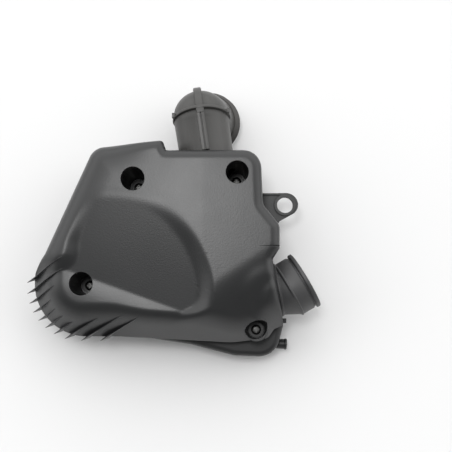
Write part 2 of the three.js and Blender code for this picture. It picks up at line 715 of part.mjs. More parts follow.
function filterCarrier() {
  const highZ = CARRIER_Z + CARRIER_THICKNESS;
  const ring = insetRing(RIM_RING, RIM_LEDGE + 0.6);
  const plate = stackedSolid([
    centrePoint(CARRIER_Z), flatRow(ring, CARRIER_Z), flatRow(ring, highZ), centrePoint(highZ),
  ]);
  const windows = gridWindows(CARRIER_Z, highZ);
  const hoodWindow = extruded(hoodCorners(3), CARRIER_Z - 3, highZ + 3);
  const cut = joined([...windows, tubeClearance(CARRIER_Z, highZ), hoodWindow]);
  return plate.subtract(cut);
}

function foamElement() {
  const highZ = FOAM_Z + FOAM_THICKNESS;
  return extruded(FOAM_CORNERS, FOAM_Z, highZ).subtract(tubeClearance(FOAM_Z, highZ));
}

function foamRetainer() {
  const highZ = RETAINER_Z + RETAINER_THICKNESS;
  const plate = extruded(FOAM_CORNERS, RETAINER_Z, highZ);
  const windows = joined(gridWindows(RETAINER_Z, highZ));
  return plate.subtract(windows).subtract(tubeClearance(RETAINER_Z, highZ));
}

/** The hood that leads clean air from under the carrier up to the boot. */
function outletHood() {
  const lowZ = CARRIER_Z + CARRIER_THICKNESS + GAP;
  const shell = extruded(hoodCorners(0), lowZ, HOOD_TOP_Z);
  const inside = extruded(hoodCorners(HOOD_WALL), lowZ - 2, HOOD_TOP_Z - HOOD_WALL);
  const inlet = rod(
    along(BOOT_CENTRE, BOOT_PORT.out, -HOOD_REACH - 6), BOOT_CENTRE, HOOD_INLET_RADIUS,
  );
  return shell.subtract(inside).subtract(inlet);
}

// ---------------------------------------------------------------- carburettor boot

/** A round station across the boot, in a plane that leans in plan. */
function bootStation(centre, lean, radius) {
  const { across, up } = portFrame(lean);
  return { centre, across, up, radius };
}

function outletBoot() {
  const { out } = BOOT_PORT;
  const turned = portFrame(BOOT_TURN).out;
  const grooved = BOOT_RADIUS - BOOT_GROOVE_DEPTH;
  const [grooveStart, grooveEnd] = BOOT_GROOVE;
  const inFace = -WALL - GAP;
  const base = (reach, radius) => bootStation(along(BOOT_CENTRE, out, reach), BOOT_LEAN, radius);
  const nose = (reach, radius) => bootStation(along(BOOT_CREASE, turned, reach), BOOT_TURN, radius);
  return tubeSolid([
    base(inFace - 3, BOOT_FLANGE), base(inFace, BOOT_FLANGE),
    base(inFace, BOOT_HOLE_RADIUS), base(GAP, BOOT_HOLE_RADIUS),
    base(GAP, BOOT_HOLE_RADIUS + 2.6), base(2.4, BOOT_HOLE_RADIUS + 2.6),
    base(2.8, BOOT_HOLE_RADIUS + 1.6), nose(0, BOOT_RADIUS),
    nose(grooveStart - 0.4, BOOT_RADIUS), nose(grooveStart, grooved), nose(grooveEnd, grooved),
    nose(grooveEnd + 0.2, BOOT_LIP_RADIUS), nose(BOOT_LENGTH, BOOT_LIP_RADIUS),
    nose(BOOT_LENGTH, BOOT_BORE), nose(1, BOOT_BORE),
    base(3, BOOT_BORE - 2), base(inFace - 3, BOOT_BORE - 2),
  ], 28);
}

/** The stiff sleeve inside the boot's grooved end. */
function bootSleeve() {
  const { out } = BOOT_PORT;
  const at = (reach, radius) => bootStation(along(BOOT_CENTRE, out, reach), BOOT_LEAN, radius);
  const outside = BOOT_BORE - 2 - GAP;
  const inside = outside - SLEEVE_WALL;
  const [inner, outer] = SLEEVE_REACH;
  return tubeSolid([
    at(inner, outside), at(outer, outside), at(outer, inside), at(inner, inside),
  ], 24);
}

// ---------------------------------------------------------------- intake elbow and bellows

const ELBOW_END = along(ELBOW_TURN, ELBOW_DROP, DROP_LENGTH);

/** The elbow's outer form, at a distance outside its wall line. */
function elbowForm(extra) {
  const outside = box([-100, INTAKE_CENTRE[1] + GAP, -50], [100, 250, 150]);
  return joined([
    rod(INTAKE_CENTRE, ELBOW_TURN, ELBOW_RADIUS + extra),
    solid(new THREE.SphereGeometry(DOME_RADIUS + extra, 20, 10).translate(...ELBOW_TURN)),
    rod(ELBOW_TURN, ELBOW_END, DOME_RADIUS + extra),
  ]).intersect(outside);
}

function intakeElbow() {
  const neckStart = along(INTAKE_CENTRE, INTAKE_OUT, -WALL - GAP - 2.8);
  const neckRadius = INTAKE_HOLE_RADIUS - 1.7;
  const innerFlange = rod(
    neckStart, along(INTAKE_CENTRE, INTAKE_OUT, -WALL - GAP), INTAKE_FLANGE,
  );
  const neck = rod(neckStart, along(INTAKE_CENTRE, INTAKE_OUT, 2), neckRadius);
  const seam = rod(
    along(INTAKE_CENTRE, INTAKE_OUT, GAP), along(INTAKE_CENTRE, INTAKE_OUT, 2.2),
    ELBOW_RADIUS + 0.8, 24,
  );
  const [turnX, turnY] = ELBOW_TURN;
  const [mitreX, mitreY, mitreZ] = MITRE_CENTRE;
  const ring = rod(
    along(MITRE_CENTRE, MITRE_AXIS, -1.4), along(MITRE_CENTRE, MITRE_AXIS, 1.4),
    DOME_RADIUS + MITRE_PROUD, 24,
  );
  const lugs = [-1, 1].map((side) => {
    const x = mitreX + side * (DOME_RADIUS + MITRE_PROUD);
    return solid(new THREE.BoxGeometry(...MITRE_LUG).translate(x, mitreY, mitreZ + 4));
  });
  const rib = elbowForm(ELBOW_RIB_PROUD).intersect(solid(
    new THREE.BoxGeometry(ELBOW_RIB_WIDTH, 62, 60).translate(0, 31, 22)
      .rotateZ(Math.atan2(INTAKE_CENTRE[0] - turnX, turnY - INTAKE_CENTRE[1]))
      .translate(INTAKE_CENTRE[0], INTAKE_CENTRE[1] + 2.5, INTAKE_CENTRE[2]),
  ));
  const passage = joined([
    rod(along(INTAKE_CENTRE, INTAKE_OUT, -14), along(INTAKE_CENTRE, INTAKE_OUT, 6), neckRadius - 2),
    rod(along(INTAKE_CENTRE, INTAKE_OUT, 3), ELBOW_TURN, neckRadius - 0.5),
    solid(new THREE.SphereGeometry(DOME_RADIUS - ELBOW_WALL, 20, 10).translate(...ELBOW_TURN)),
    rod(ELBOW_TURN, along(ELBOW_END, ELBOW_DROP, 6), DOME_RADIUS - ELBOW_WALL),
  ]);
  return joined([elbowForm(0), innerFlange, neck, seam, ring, rib, ...lugs]).subtract(passage);
}

/** The rubber ring between the elbow's neck and the hole in the wall. */
function intakeSeal() {
  const neckRadius = INTAKE_HOLE_RADIUS - 1.7;
  const from = along(INTAKE_CENTRE, INTAKE_OUT, -WALL + 0.1);
  const to = along(INTAKE_CENTRE, INTAKE_OUT, -0.1);
  return rod(from, to, INTAKE_HOLE_RADIUS)
    .subtract(rod(along(from, INTAKE_OUT, -1), along(to, INTAKE_OUT, 1), neckRadius + GAP));
}

/** The corrugated rubber mouth below the elbow. */
function intakeBellows() {
  const across = new THREE.Vector3(0, 1, 0).cross(ELBOW_DROP).normalize();
  const up = ELBOW_DROP.clone().cross(across);
  const at = (reach, radius) => (
    { centre: along(ELBOW_END, ELBOW_DROP, reach), across, up, radius }
  );
  const pitch = (BELLOWS_LENGTH - GAP) / BELLOWS_FOLDS;
  const outside = [];
  for (let fold = 0; fold < BELLOWS_FOLDS; fold += 1) {
    const start = GAP + fold * pitch;
    outside.push(at(start, BELLOWS_RADIUS - 2), at(start + pitch * 0.35, BELLOWS_RADIUS));
    outside.push(at(start + pitch * 0.65, BELLOWS_RADIUS));
  }
  outside.push(at(BELLOWS_LENGTH, BELLOWS_RADIUS - 1));
  const inside = [at(BELLOWS_LENGTH, BELLOWS_RADIUS - 4), at(GAP, DOME_RADIUS - ELBOW_WALL)];
  return tubeSolid([...outside, ...inside], 28);
}

// ---------------------------------------------------------------- fasteners

/** A pan-head screw with a crossed recess, standing in its well. */
function coverScrew() {
  const underHead = WASHER_THICKNESS + GAP;
  const profile = [
    [0, underHead - SHANK_LENGTH - 1.5], [0.8, underHead - SHANK_LENGTH - 1.5],
    [SHANK_RADIUS, underHead - SHANK_LENGTH + 1], [SHANK_RADIUS, underHead],
    [HEAD_RADIUS, underHead], [HEAD_RADIUS, underHead + HEAD_HEIGHT * 0.45],
    [HEAD_RADIUS * 0.78, underHead + HEAD_HEIGHT * 0.85],
    [HEAD_RADIUS * 0.4, underHead + HEAD_HEIGHT], [0, underHead + HEAD_HEIGHT],
  ].map(([radius, z]) => new THREE.Vector2(radius, z));
  const turned = solid(facingOut(new THREE.LatheGeometry(profile, 14).rotateX(Math.PI / 2)));
  const high = underHead + HEAD_HEIGHT + 1;
  const low = underHead + HEAD_HEIGHT * 0.4;
  const [reach, half] = CROSS_RECESS;
  const cross = box([-reach, -half, low], [reach, half, high])
    .add(box([-half, -reach, low], [half, reach, high]));
  return turned.subtract(cross);
}

function screwWasher() {
  return post(0, 0, 0, WASHER_THICKNESS, WASHER_RADIUS, WASHER_RADIUS, 18)
    .subtract(post(0, 0, -1, WASHER_THICKNESS + 1, SHANK_RADIUS + 0.35, SHANK_RADIUS + 0.35, 12));
}

// ---------------------------------------------------------------- assembly

const housing = new THREE.Group();
housing.position.set(-DATUM[0], -DATUM[1], 0);

function piece(name, body, material, x = 0, y = 0, z = 0) {
  const mesh = new THREE.Mesh(geometryOf(body), material);
  mesh.name = name;
  mesh.position.set(x, y, z);
  housing.add(mesh);
}

const seals = rimSeals();
piece('rear_case', rearCase(), CASE_PLASTIC.clone());
piece('outer_cover', outerCover(), COVER_PLASTIC.clone());
piece('rim_seal_long', seals.long, BOOT_RUBBER.clone());
piece('rim_seal_short', seals.short, BOOT_RUBBER.clone());
piece('filter_carrier', filterCarrier(), INNER_PLASTIC.clone());
piece('foam_element', foamElement(), FOAM.clone());
piece('foam_retainer', foamRetainer(), INNER_PLASTIC.clone());
piece('outlet_hood', outletHood(), INNER_PLASTIC.clone());
piece('outlet_boot', outletBoot(), BOOT_RUBBER.clone());
piece('boot_sleeve', bootSleeve(), INNER_PLASTIC.clone());
piece('intake_elbow', intakeElbow(), ELBOW_PLASTIC.clone());
piece('intake_seal', intakeSeal(), BOOT_RUBBER.clone());
piece('intake_bellows', intakeBellows(), BOOT_RUBBER.clone());
WELLS.forEach(({ x, y, bottomZ }, index) => {
  const seatZ = bottomZ + WELL_FLOOR + GAP;
  piece(`cover_screw_${index + 1}`, coverScrew(), STEEL.clone(), x, y, seatZ);
  piece(`screw_washer_${index + 1}`, screwWasher(), STEEL.clone(), x, y, seatZ);
});

const model = new THREE.Group();
model.add(housing);

export default model;
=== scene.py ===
"""Air filter housing of a small two-stroke scooter engine: its looks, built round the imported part.

Dimensions are in millimetres in the part's drawing frame, whose origin is straight below the
camera. DATUM is the middle of the footprint in that frame, and it is the origin of the scene.
"""

from math import atan2, cos, pi, radians, sin, tan

import bpy
import numpy as np
from mathutils import Matrix, Vector

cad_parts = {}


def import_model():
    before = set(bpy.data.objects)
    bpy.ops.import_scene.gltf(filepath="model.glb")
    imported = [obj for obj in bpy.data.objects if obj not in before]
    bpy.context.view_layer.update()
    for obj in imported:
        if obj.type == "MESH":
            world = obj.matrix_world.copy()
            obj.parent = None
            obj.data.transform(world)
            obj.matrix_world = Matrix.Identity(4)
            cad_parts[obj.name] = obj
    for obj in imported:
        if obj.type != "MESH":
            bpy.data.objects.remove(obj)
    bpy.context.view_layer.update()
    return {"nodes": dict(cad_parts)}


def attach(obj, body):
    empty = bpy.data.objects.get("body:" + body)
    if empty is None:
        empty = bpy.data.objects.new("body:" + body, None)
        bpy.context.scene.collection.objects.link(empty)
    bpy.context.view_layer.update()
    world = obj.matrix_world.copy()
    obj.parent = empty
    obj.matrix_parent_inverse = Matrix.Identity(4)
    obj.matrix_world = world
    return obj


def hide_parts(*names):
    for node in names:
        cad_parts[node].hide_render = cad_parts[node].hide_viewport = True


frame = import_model()

# ---------------------------------------------------------------- dimensions

MM = 0.001
DATUM = (-44.378, 78.531)

WALL = 2.5
GAP = 0.3
BACK_Z = 2
PARTING_Z = 41
PLATEAU_Z = 84.9
SHOULDER_RADIUS = 13
SMALL_SHOULDER = 7.5
SMALL_SHOULDER_START = -110
SMALL_SHOULDER_BLEND = 50

# How finely surfaces are drawn, how far a cutting body runs past the face it cuts, and a height
# above everything.
FINE_STEP = 2.2
MIN_SLANT = 0.6
SIDES = 96
FASTENER_SIDES = 64
SMALL_SIDES = 48
PILOT_SIDES = 32
COVER_ROWS = (14, 46)
CAVITY_ROWS = (6, 14)
OVERCUT = 1
CLEAR_Z = PLATEAU_Z + 10

# Plan outlines, as corners (x, y, radius), and a place inside them that rows close in on.
CENTRE = (-72, 45)
COVER_CORNERS = [
    (-162.3, -20.5, 45), (-162.3, 31, 10), (-150, 48, 14), (-110.5, 136.5, 14), (-52.5, 141.3, 3),
    (-49.6, 133, 2), (28.6, 133, 15), (30.4, 88, 9), (44, 71, 9), (44, 52, 3), (38.2, 43, 3),
    (48.4, -11, 2), (40.5, -14.5, 4), (35.5, -22, 6), (5, -25.6, 60), (-90, -20.5, 30),
]
SUMP_CORNERS = [
    (-70, -8, 1), (-70, -16.6, 1), (-30, -22.7, 55), (8, -32.4, 21), (38.5, -33.6, 13),
    (45, -9, 2), (40, -8, 1),
]
SUMP_TOP_Z = 31
SUMP_ROUNDING = 5

# The scoop: its rim, its floor, and the wedge below the crease that crosses it.
SCOOP_RIM = [
    (-190, 36), (-150, 38), (-131, 44), (-127, 60), (-120, 79), (-110, 95), (-97, 99), (-70, 95),
    (-48, 83), (-29, 62), (-17, 36), (-14, 14), (-20, 0), (-40, -14), (-80, -60), (-190, -60),
]
CREASE_START = np.array((-140.5, 37.7))
CREASE_END = np.array((-28.9, -2.0))
CREASE_Z = 75.5
CREASE_SOFTNESS = 0.5
FLOOR_RISE = 0.11
WEDGE_RISE = 0.1
WEDGE_CROWN = 14
WEDGE_WIDTH = 30
RIM_WIDTH = 14
RIM_SHARE = 0.35

# The edge is one run along the lower flank and one along the rest.
BOOT_SIDE = (38, -11)
LOWER_RUN_TOP = 31
UPPER_RUN_FOOT = 28
RUN_BREAK = 20

FLANK_FOOT_Z = 45
FLANK_RISE = 1.75
LEFT_FLANK_RISE = 1.5
FLANK_ROUNDING = 12

# The plateau falls away to the left and towards the boot, and swells again over the boot.
LEFT_FALL_START = -20
LEFT_FALL = 0.03
LEFT_START = -60
LEFT_BLEND = 40
LEFT_ROLL = 0.004
LEFT_ROLL_WIDTH = 28
FALL_START = (2, 34)
FALL_HEADING = (0.55, -0.83)
FALL_SLOPE = 0.5
FALL_EASE = 26
# Each swell: centre, radius, rise, and the share of the radius that it rises over.
BOOT_SWELLS = [(41, 9, 34, 2, 0.4), (45, 9, 21, 3.4, 0.5)]

# A fine step line above the boot: its ends, and the depth and half width that it grows to.
LEDGE_START = (26.5, 53.4)
LEDGE_END = (43.6, 53.8)
LEDGE_DEPTH = (0.15, 1.5)
LEDGE_HALF_WIDTH = (0.275, 1.1)
LEDGE_CLEARANCE = 2

# Screw wells: centre, mouth radius, underside, top of the round foot.
WELLS = [
    (-76.4, 108.7, 10.1, 19.3, 45), (9.2, 113.8, 9.6, 19.3, 45),
    (-118.6, 23, 10.2, 19.3, 45), (25.4, -14.8, 7.6, 41.3, 55),
]
LOW_WELL = WELLS[3]
WELL_FLOOR = 3
WELL_FLOOR_RADIUS = 8
WELL_WALL = 2.2
WELL_DRAFT = 0.4
WELL_TUBE_FOOT = 1
SCREW_HOLE_RADIUS = 3

# The oval mouth of the low well: its turn, its stretch and the heights that it grows over.
LOW_WELL_ANGLE = radians(25)
LOW_WELL_STRETCH = (0.97, 1.4)
LOW_WELL_ROWS = [(50, 0), (54, 0.5), (60, 1), (CLEAR_Z, 1)]

# Louvres: their direction and pitch, how far each runs over the cover, and their section.
FIN_ANGLE = radians(30)
FIN_FIRST_OFFSET = 105.8
FIN_PITCH = 8.19
FIN_RUNS = [43, 43, 32, 23, 21, 22, 22, 38, 46, 43]
FIN_OVERHANG = 8
FIN_PROUD = 4.2
FIN_FADE = 0.8
FIN_MARGINS = (1.6, -0.6)
FIN_ROOT = 1.3
FIN_WEB = 3.2
FIN_WEB_RUN = 9
FIN_EDGE = 0.55
FIN_TIP_Z = 45.5
FIN_TIP_CURVE = 1.5
FIN_BASE_Z = PARTING_Z + 1.5
FIN_TAIL_Z = PARTING_Z + 4
FIN_SEARCH = np.arange(-170, 0, 0.5)
FIN_START = 0.5
FIN_SHARES = np.linspace(0, 1, 25)
FIN_POINT_SHARES = np.linspace(0.12, 0.88, 6)
FIN_POINT_DROP = 0.6

# Outlet boot: its root leans a little to the back, and its nose turns further.
BOOT_CENTRE = (42.85, 18.4, 43)
BOOT_LEAN = radians(10.7)
BOOT_TURN = radians(30.4)
BOOT_OUT = (cos(BOOT_LEAN), sin(BOOT_LEAN), 0)
BOOT_NOSE_SHIFT = Vector((10.4, 0.52, 0))
BOOT_HOLE_RADIUS = 20
BOOT_FLANGE = 22.4
BOOT_RADIUS = 24.1
BOOT_LIP_RADIUS = 25.2
BOOT_BORE = 20
BOOT_ROOT_BORE = 18
BOOT_ROOT_REACH = (3, -5.8)

# How far a port's hole runs inside and outside the wall line.
PORT_INNER_REACH = 14
PORT_OUTER_REACH = 12

# Intake elbow: neck, tube, dome and drop, with the raised ring where the tube meets the dome.
INTAKE_CENTRE = (-16.5, 133, 42)
INTAKE_HOLE_RADIUS = 21.5
INTAKE_FLANGE = 23.2
ELBOW_RADIUS = 23
ELBOW_WALL = 2.2
ELBOW_TURN = (-21.5, 167, 41)
ELBOW_DROP = Vector((0.25, 0.04, -1)).normalized()
DROP_LENGTH = 23.2
ELBOW_END = Vector(ELBOW_TURN) + ELBOW_DROP * DROP_LENGTH
DOME_RADIUS = 24
NECK_RADIUS = INTAKE_HOLE_RADIUS - 1.7
NECK_WALL = 2
NECK_FLANGE = 2.8
NECK_OVERLAP = 2
NECK_BORE_END = 6
TUBE_BORE_START = 3
JOIN_SLACK = 0.02
TUBE_TAPER = 0.3
TUBE_BORE = NECK_RADIUS - 0.5
SEAM_RADIUS = 23.8
KEY_LOW = (-18, 132.5, 60)
KEY_HIGH = (-15, 135.6, 67.4)
MITRE_CENTRE = (-21, 166, 43.5)
MITRE_AXIS = Vector((-0.1, 0.96, -0.26)).normalized()
MITRE_PROUD = 1.1
MITRE_HALF = 1.4
MITRE_LUG = (1.2, 1.9, 3)
MITRE_LUG_OFFSETS = [(-23.9, 1.2, 8), (22.7, 5.7, 8)]

# Ribs along the elbow's back: offset from its middle, width, how proud, and where they start.
RIB_START = 2.6
DOME_RIB_START = 34.5
ELBOW_RIBS = [
    (-1.9, 2.6, 2.8, RIB_START), (1.9, 2.6, 2.8, RIB_START), (0, 6, 1.6, RIB_START),
    (0, 6.8, 2.2, DOME_RIB_START), (0, 5.4, 3, DOME_RIB_START),
]
RIB_SLAB_END = 62
RIB_SLAB_HEIGHTS = (-8, 60)

BELLOWS_LENGTH = 11
BELLOWS_RADIUS = 27
BELLOWS_FOLDS = 3

SHANK_RADIUS = 2.4
SHANK_LENGTH = 17
HEAD_RADIUS = 4.2
HEAD_HEIGHT = 2.6
TIP_LENGTH = 1.5
CROSS_LENGTH = 2.3
CROSS_WIDTH = 0.55
CROSS_FLOOR = 0.4
WASHER_RADIUS = 6.5
WASHER_BORE = 2.8
WASHER_THICKNESS = 1
WASHER_ROUND = 0.15

# The case: its rounded foot outside and inside, as (distance inward, height above the back).
CASE_FOOT = [(7, 0), (5.2, 0.25), (3.6, 0.9), (2.3, 2), (1.1, 3.8), (0.3, 5.7), (0, 8)]
CASE_INNER_FOOT = [(9, WALL), (6.5, WALL + 0.9), (4, 5.5), (WALL, 9)]
EDGE_NUB = [(45, -9.5, 26), (51.6, -5.5, 35)]
SEAL_GROOVE = (1.4, 5)
SEAL_GROOVE_DEPTH = 2.6
RIM_LEDGE_WIDTH = 6
RIM_LEDGE_DEPTH = 5
BOSS_RADII = (6.5, 5.5)
PILOT_DEPTH = 14.3
CARRIER_POSTS = [(-128, 50), (-52, 118), (-60, 4), (-8, 60), (12, 20), (-98, 70)]
CARRIER_POST_RADII = (4, 3)
CARRIER_POST_TOP_Z = 19.7
BACK_RIB_WIDTH = 4
BACK_RIBS_ACROSS = [(-128, 26, 2), (-128, 26, 52), (-96, 14, 104)]
BACK_RIBS_ALONG = [-98, -44, 8]
BACK_RIB_RUN = (4, 106)

# The lug's plate, rim and lip lie this far below the parting line.
LUG_CENTRE = (50.8, 91.7)
LUG_HOLE_RADIUS = 6.9
LUG_RIM_WIDTH = 2.4
LUG_PLATE_DEPTHS = (5.5, 1.8)
LUG_RIM_DEPTHS = (7, 0.05)
LUG_LIP_DEPTHS = (8, 0.1)
LUG_LIP_START = (26, 100.3)
LUG_LIP_Y = 101.85
LUG_EYE_REACH = (9, 4)
LUG_CORNERS = [
    (24, 101.9, 0.5), (58.8, 102.3, 10.5), (64.4, 88, 9), (46.3, 78, 2), (38, 66, 0.5),
    (24, 80, 0.5),
]
SPOUT_START = (36, -27, 14)
SPOUT_END = (53.2, -28.03, 14)
SPOUT_RADIUS = 4.3
SPOUT_BORE = 2.7

FOAM_CORNERS = [(-139, 12, 12), (-139, 42, 8), (-108, 117, 12), (-8, 117, 9), (-8, 2, 9)]
FOAM_Z = (22.3, 42.3)
FOAM_ROUNDING = 2
FOAM_MARGINS = (0.05, 0.1)
FOAM_WELL_CLEARANCE = 0.8

# ---------------------------------------------------------------- looks and studio

EDGE_ANGLE = radians(32)
CLOUD_SCALE = 18
ROUGHNESS_SPREAD = 0.05
GRAIN_DEPTH = 0.0002
# Painted shade: ambient occlusion, sought over this reach, lowers the specular level in crevices and
# hollows to this share of its full value.
CREVICE_REACH = 0.012
PAINTED_SHADE_SPECULAR_SHARE = 0.6

FLOOR_HALF = 2000
FLOOR_Z = -0.1
FLOOR_TONE = 0.75
FLOOR_ROUGHNESS = 0.9

# The studio: brightness overhead, at the walls and at the horizon, and where each gives way.
ZENITH_LIGHT = 0.3
WALL_LIGHT = 2.0
HORIZON_LIGHT = 1.0
SIDE_WEIGHT = 0.6
WALL_BAND = (0.1, 0.6)
HORIZON_BAND = (-0.1, 0.35)
KEY_PLACE = (-150, 265, 1500)
KEY_TARGET = (-40, 60, 60)
KEY_SIZE = 0.3
KEY_POWER = 6

CAMERA_HEIGHT = 0.85
CAMERA_TILT = radians(5.19)
CAMERA_FIELD = radians(26.85)
CAMERA_SENSOR = 36

# ---------------------------------------------------------------- mesh helpers


def mesh_object(name, points, faces):
    """A mesh object from drawing-frame points, with its faces turned outward."""
    points = (np.asarray(points, float) - (*DATUM, 0)) * MM
    corners = np.array([points[list(face[:3])] for face in faces])
    volume = np.einsum("ij,ij->", corners[:, 0], np.cross(corners[:, 1], corners[:, 2]))
    quads = np.array([points[[face[0], face[2], face[-1]]] for face in faces if len(face) == 4])
    if len(quads):
        volume += np.einsum("ij,ij->", quads[:, 0], np.cross(quads[:, 1], quads[:, 2]))
    if volume < 0:
        faces = [tuple(reversed(face)) for face in faces]
    mesh = bpy.data.meshes.new(name)
    mesh.from_pydata(points.tolist(), [], faces)
    mesh.update()
    made = bpy.data.objects.new(name, mesh)
    bpy.context.collection.objects.link(made)
    return made


def rings(name, rows, closed=False):
    """A body of rings; a row of one point is a pole, and closed joins the last row to the first."""
    rows = [np.asarray(row, float).reshape(-1, 3) for row in rows]
    starts = np.cumsum([0] + [len(row) for row in rows])
    count = max(len(row) for row in rows)
    pairs = [(i, i + 1) for i in range(len(rows) - 1)] + ([(len(rows) - 1, 0)] if closed else [])
    faces = []
    for low, high in pairs:
        for k in range(count):
            ahead = (k + 1) % count
            a = starts[low] + (k if len(rows[low]) > 1 else 0)
            b = starts[low] + (ahead if len(rows[low]) > 1 else 0)
            c = starts[high] + (ahead if len(rows[high]) > 1 else 0)
            d = starts[high] + (k if len(rows[high]) > 1 else 0)
            faces.append(tuple(dict.fromkeys((a, b, c, d))))
    return mesh_object(name, np.vstack(rows), faces)


def applied(made):
    """An object with its modifiers written into its mesh."""
    depsgraph = bpy.context.evaluated_depsgraph_get()
    old = made.data
    made.data = bpy.data.meshes.new_from_object(made.evaluated_get(depsgraph))
    made.modifiers.clear()
    bpy.data.meshes.remove(old)
    return made


def combined(base, other, operation):
    """One solid changed by another, which is used up."""
    change = base.modifiers.new(operation, "BOOLEAN")
    change.operation = operation
    change.solver = "MANIFOLD"
    change.object = other
    applied(base)
    bpy.data.objects.remove(other)
    return base


def joined(base, *others):
    """One solid with others added, which are used up."""
    for other in others:
        combined(base, other, "UNION")
    return base


def cut(base, *others):
    """One solid with others taken away, which are used up."""
    for other in others:
        combined(base, other, "DIFFERENCE")
    return base


def outline(corners, step):
    """Points round an outline of corners (x, y, radius), about one step apart."""
    corners = np.array(corners, float)
    places, radii = corners[:, :2], corners[:, 2]
    arcs = []
    for i, (corner, radius) in enumerate(zip(places, radii)):
        before = places[i - 1] - corner
        after = places[(i + 1) % len(places)] - corner
        before /= np.linalg.norm(before)
        after /= np.linalg.norm(after)
        half = np.arccos(np.dot(before, after)) / 2
        middle = before + after
        centre = corner + middle / np.linalg.norm(middle) * radius / sin(half)
        start = corner + before * radius / tan(half) - centre
        end = corner + after * radius / tan(half) - centre
        first = atan2(start[1], start[0])
        sweep = (atan2(end[1], end[0]) - first + pi) % (2 * pi) - pi
        pieces = max(5, int(abs(sweep) * radius / step) + 1)
        angles = first + sweep * np.linspace(0, 1, pieces + 1)
        arcs.append(centre + radius * np.stack([np.cos(angles), np.sin(angles)], 1))
    points = []
    for i, arc in enumerate(arcs):
        points.append(arc)
        following = arcs[(i + 1) % len(arcs)][0]
        pieces = int(np.linalg.norm(following - arc[-1]) / step)
        if pieces > 1:
            shares = np.arange(1, pieces)[:, None] / pieces
            points.append(arc[-1] + (following - arc[-1]) * shares)
    return np.vstack(points)


def inset(ring, distance):
    """A ring whose edges lie a distance further in; each point moves on its ray to the centre."""
    run = np.roll(ring, -1, 0) - np.roll(ring, 1, 0)
    run /= np.linalg.norm(run, axis=1)[:, None]
    inward = np.array(CENTRE) - ring
    inward /= np.linalg.norm(inward, axis=1)[:, None]
    slant = np.maximum(MIN_SLANT, inward[:, 0] * run[:, 1] - inward[:, 1] * run[:, 0])
    return ring + inward * (distance / slant)[:, None]


def at_height(ring, z):
    """A plan ring as points in space; z is one height or one for each point."""
    return np.column_stack([ring, np.broadcast_to(z, len(ring))])


def axis_frame(direction):
    """Two directions square to an axis."""
    direction = Vector(direction).normalized()
    helper = Vector((0, 0, 1)) if abs(direction.z) < 0.9 else Vector((0, 1, 0))
    across = helper.cross(direction).normalized()
    return across, direction.cross(across)


def circle(centre, across, up, radius, count=SIDES):
    """Points round a circle in the plane of two directions."""
    angles = np.linspace(0, 2 * pi, count, endpoint=False)[:, None]
    across, up = np.array(across), np.array(up)
    return np.array(centre) + radius * (np.cos(angles) * across + np.sin(angles) * up)


def turned(name, start, direction, profile, count=SIDES, closed=False):
    """A body turned about an axis from its profile of (distance along, radius)."""
    direction = Vector(direction).normalized()
    across, up = axis_frame(direction)
    rows = []
    for reach, radius in profile:
        centre = Vector(start) + direction * reach
        rows.append(circle(centre, across, up, radius, count) if radius else [list(centre)])
    return rings(name, rows, closed)


def rod(start, end, radius, end_radius=None, count=SIDES):
    """A plain round body between two points."""
    span = Vector(end) - Vector(start)
    last = radius if end_radius is None else end_radius
    profile = [(0, 0), (0, radius), (span.length, last), (span.length, 0)]
    return turned("rod", start, span, profile, count)


def ball(centre, radius):
    """A round ball."""
    angles = np.linspace(0, pi, SIDES // 2 + 1)
    profile = [(-radius * cos(a), radius * sin(a)) for a in angles]
    profile[0], profile[-1] = (-radius, 0), (radius, 0)
    return turned("ball", centre, (0, 0, 1), profile)


def block(low, high):
    """An upright box between two corners."""
    corners = [(low[0], low[1]), (high[0], low[1]), (high[0], high[1]), (low[0], high[1])]
    return prism(np.array(corners, float), low[2], high[2])


def prism(ring, low, high):
    """An upright body on any plan outline, with one flat face below and one above."""
    count = len(ring)
    faces = [tuple(range(count)), tuple(range(2 * count - 1, count - 1, -1))]
    for k in range(count):
        ahead = (k + 1) % count
        faces.append((k, k + count, ahead + count, ahead))
    return mesh_object("prism", np.vstack([at_height(ring, low), at_height(ring, high)]), faces)


# ---------------------------------------------------------------- the cover's surface


def smooth_step(value):
    """A smooth rise from 0 to 1 as a value goes from 0 to 1."""
    value = np.clip(value, 0, 1)
    return value**2 * (3 - 2 * value)


def mix(a, b, share):
    """The value a share of the way from one to another."""
    return a + (b - a) * share


def soft_lower(a, b, width):
    """The lower of two heights, rounded where they cross."""
    share = np.clip(0.5 + (b - a) / (2 * width), 0, 1)
    return mix(b, a, share) - width * share * (1 - share)


def distance_to(run, places, closed=False):
    """Distance of each place from an open or closed run of points."""
    starts, ends = (run, np.roll(run, -1, 0)) if closed else (run[:-1], run[1:])
    spans = ends - starts
    lengths = (spans**2).sum(1)
    found = []
    for part in np.array_split(places, max(1, len(places) // 2000)):
        offset = part[:, None] - starts
        share = np.clip((offset * spans).sum(2) / lengths, 0, 1)
        found.append(np.sqrt(((offset - share[:, :, None] * spans) ** 2).sum(2)).min(1))
    return np.concatenate(found)


def is_inside(ring, places):
    """Which places lie inside a ring."""
    x, y = places[:, :1], places[:, 1:]
    after = np.roll(ring, -1, 0)
    span = after - ring
    crossing = (ring[:, 1] > y) != (after[:, 1] > y)
    slope = np.divide(span[:, 0], span[:, 1], out=np.zeros(len(ring)), where=span[:, 1] != 0)
    return (crossing & (x < ring[:, 0] + slope * (y - ring[:, 1]))).sum(1) % 2 == 1


def smooth_curve(points, pieces):
    """A Catmull-Rom curve through points."""
    points = np.array(points, float)
    padded = np.vstack([points[0], points, points[-1]])
    curve = []
    for before, start, end, after in zip(padded, padded[1:], padded[2:], padded[3:]):
        for t in np.arange(pieces) / pieces:
            curve.append(0.5 * (
                2 * start + (end - before) * t
                + (2 * before - 5 * start + 4 * end - after) * t**2
                + (3 * start - before - 3 * end + after) * t**3
            ))
    return np.array(curve + [points[-1]])


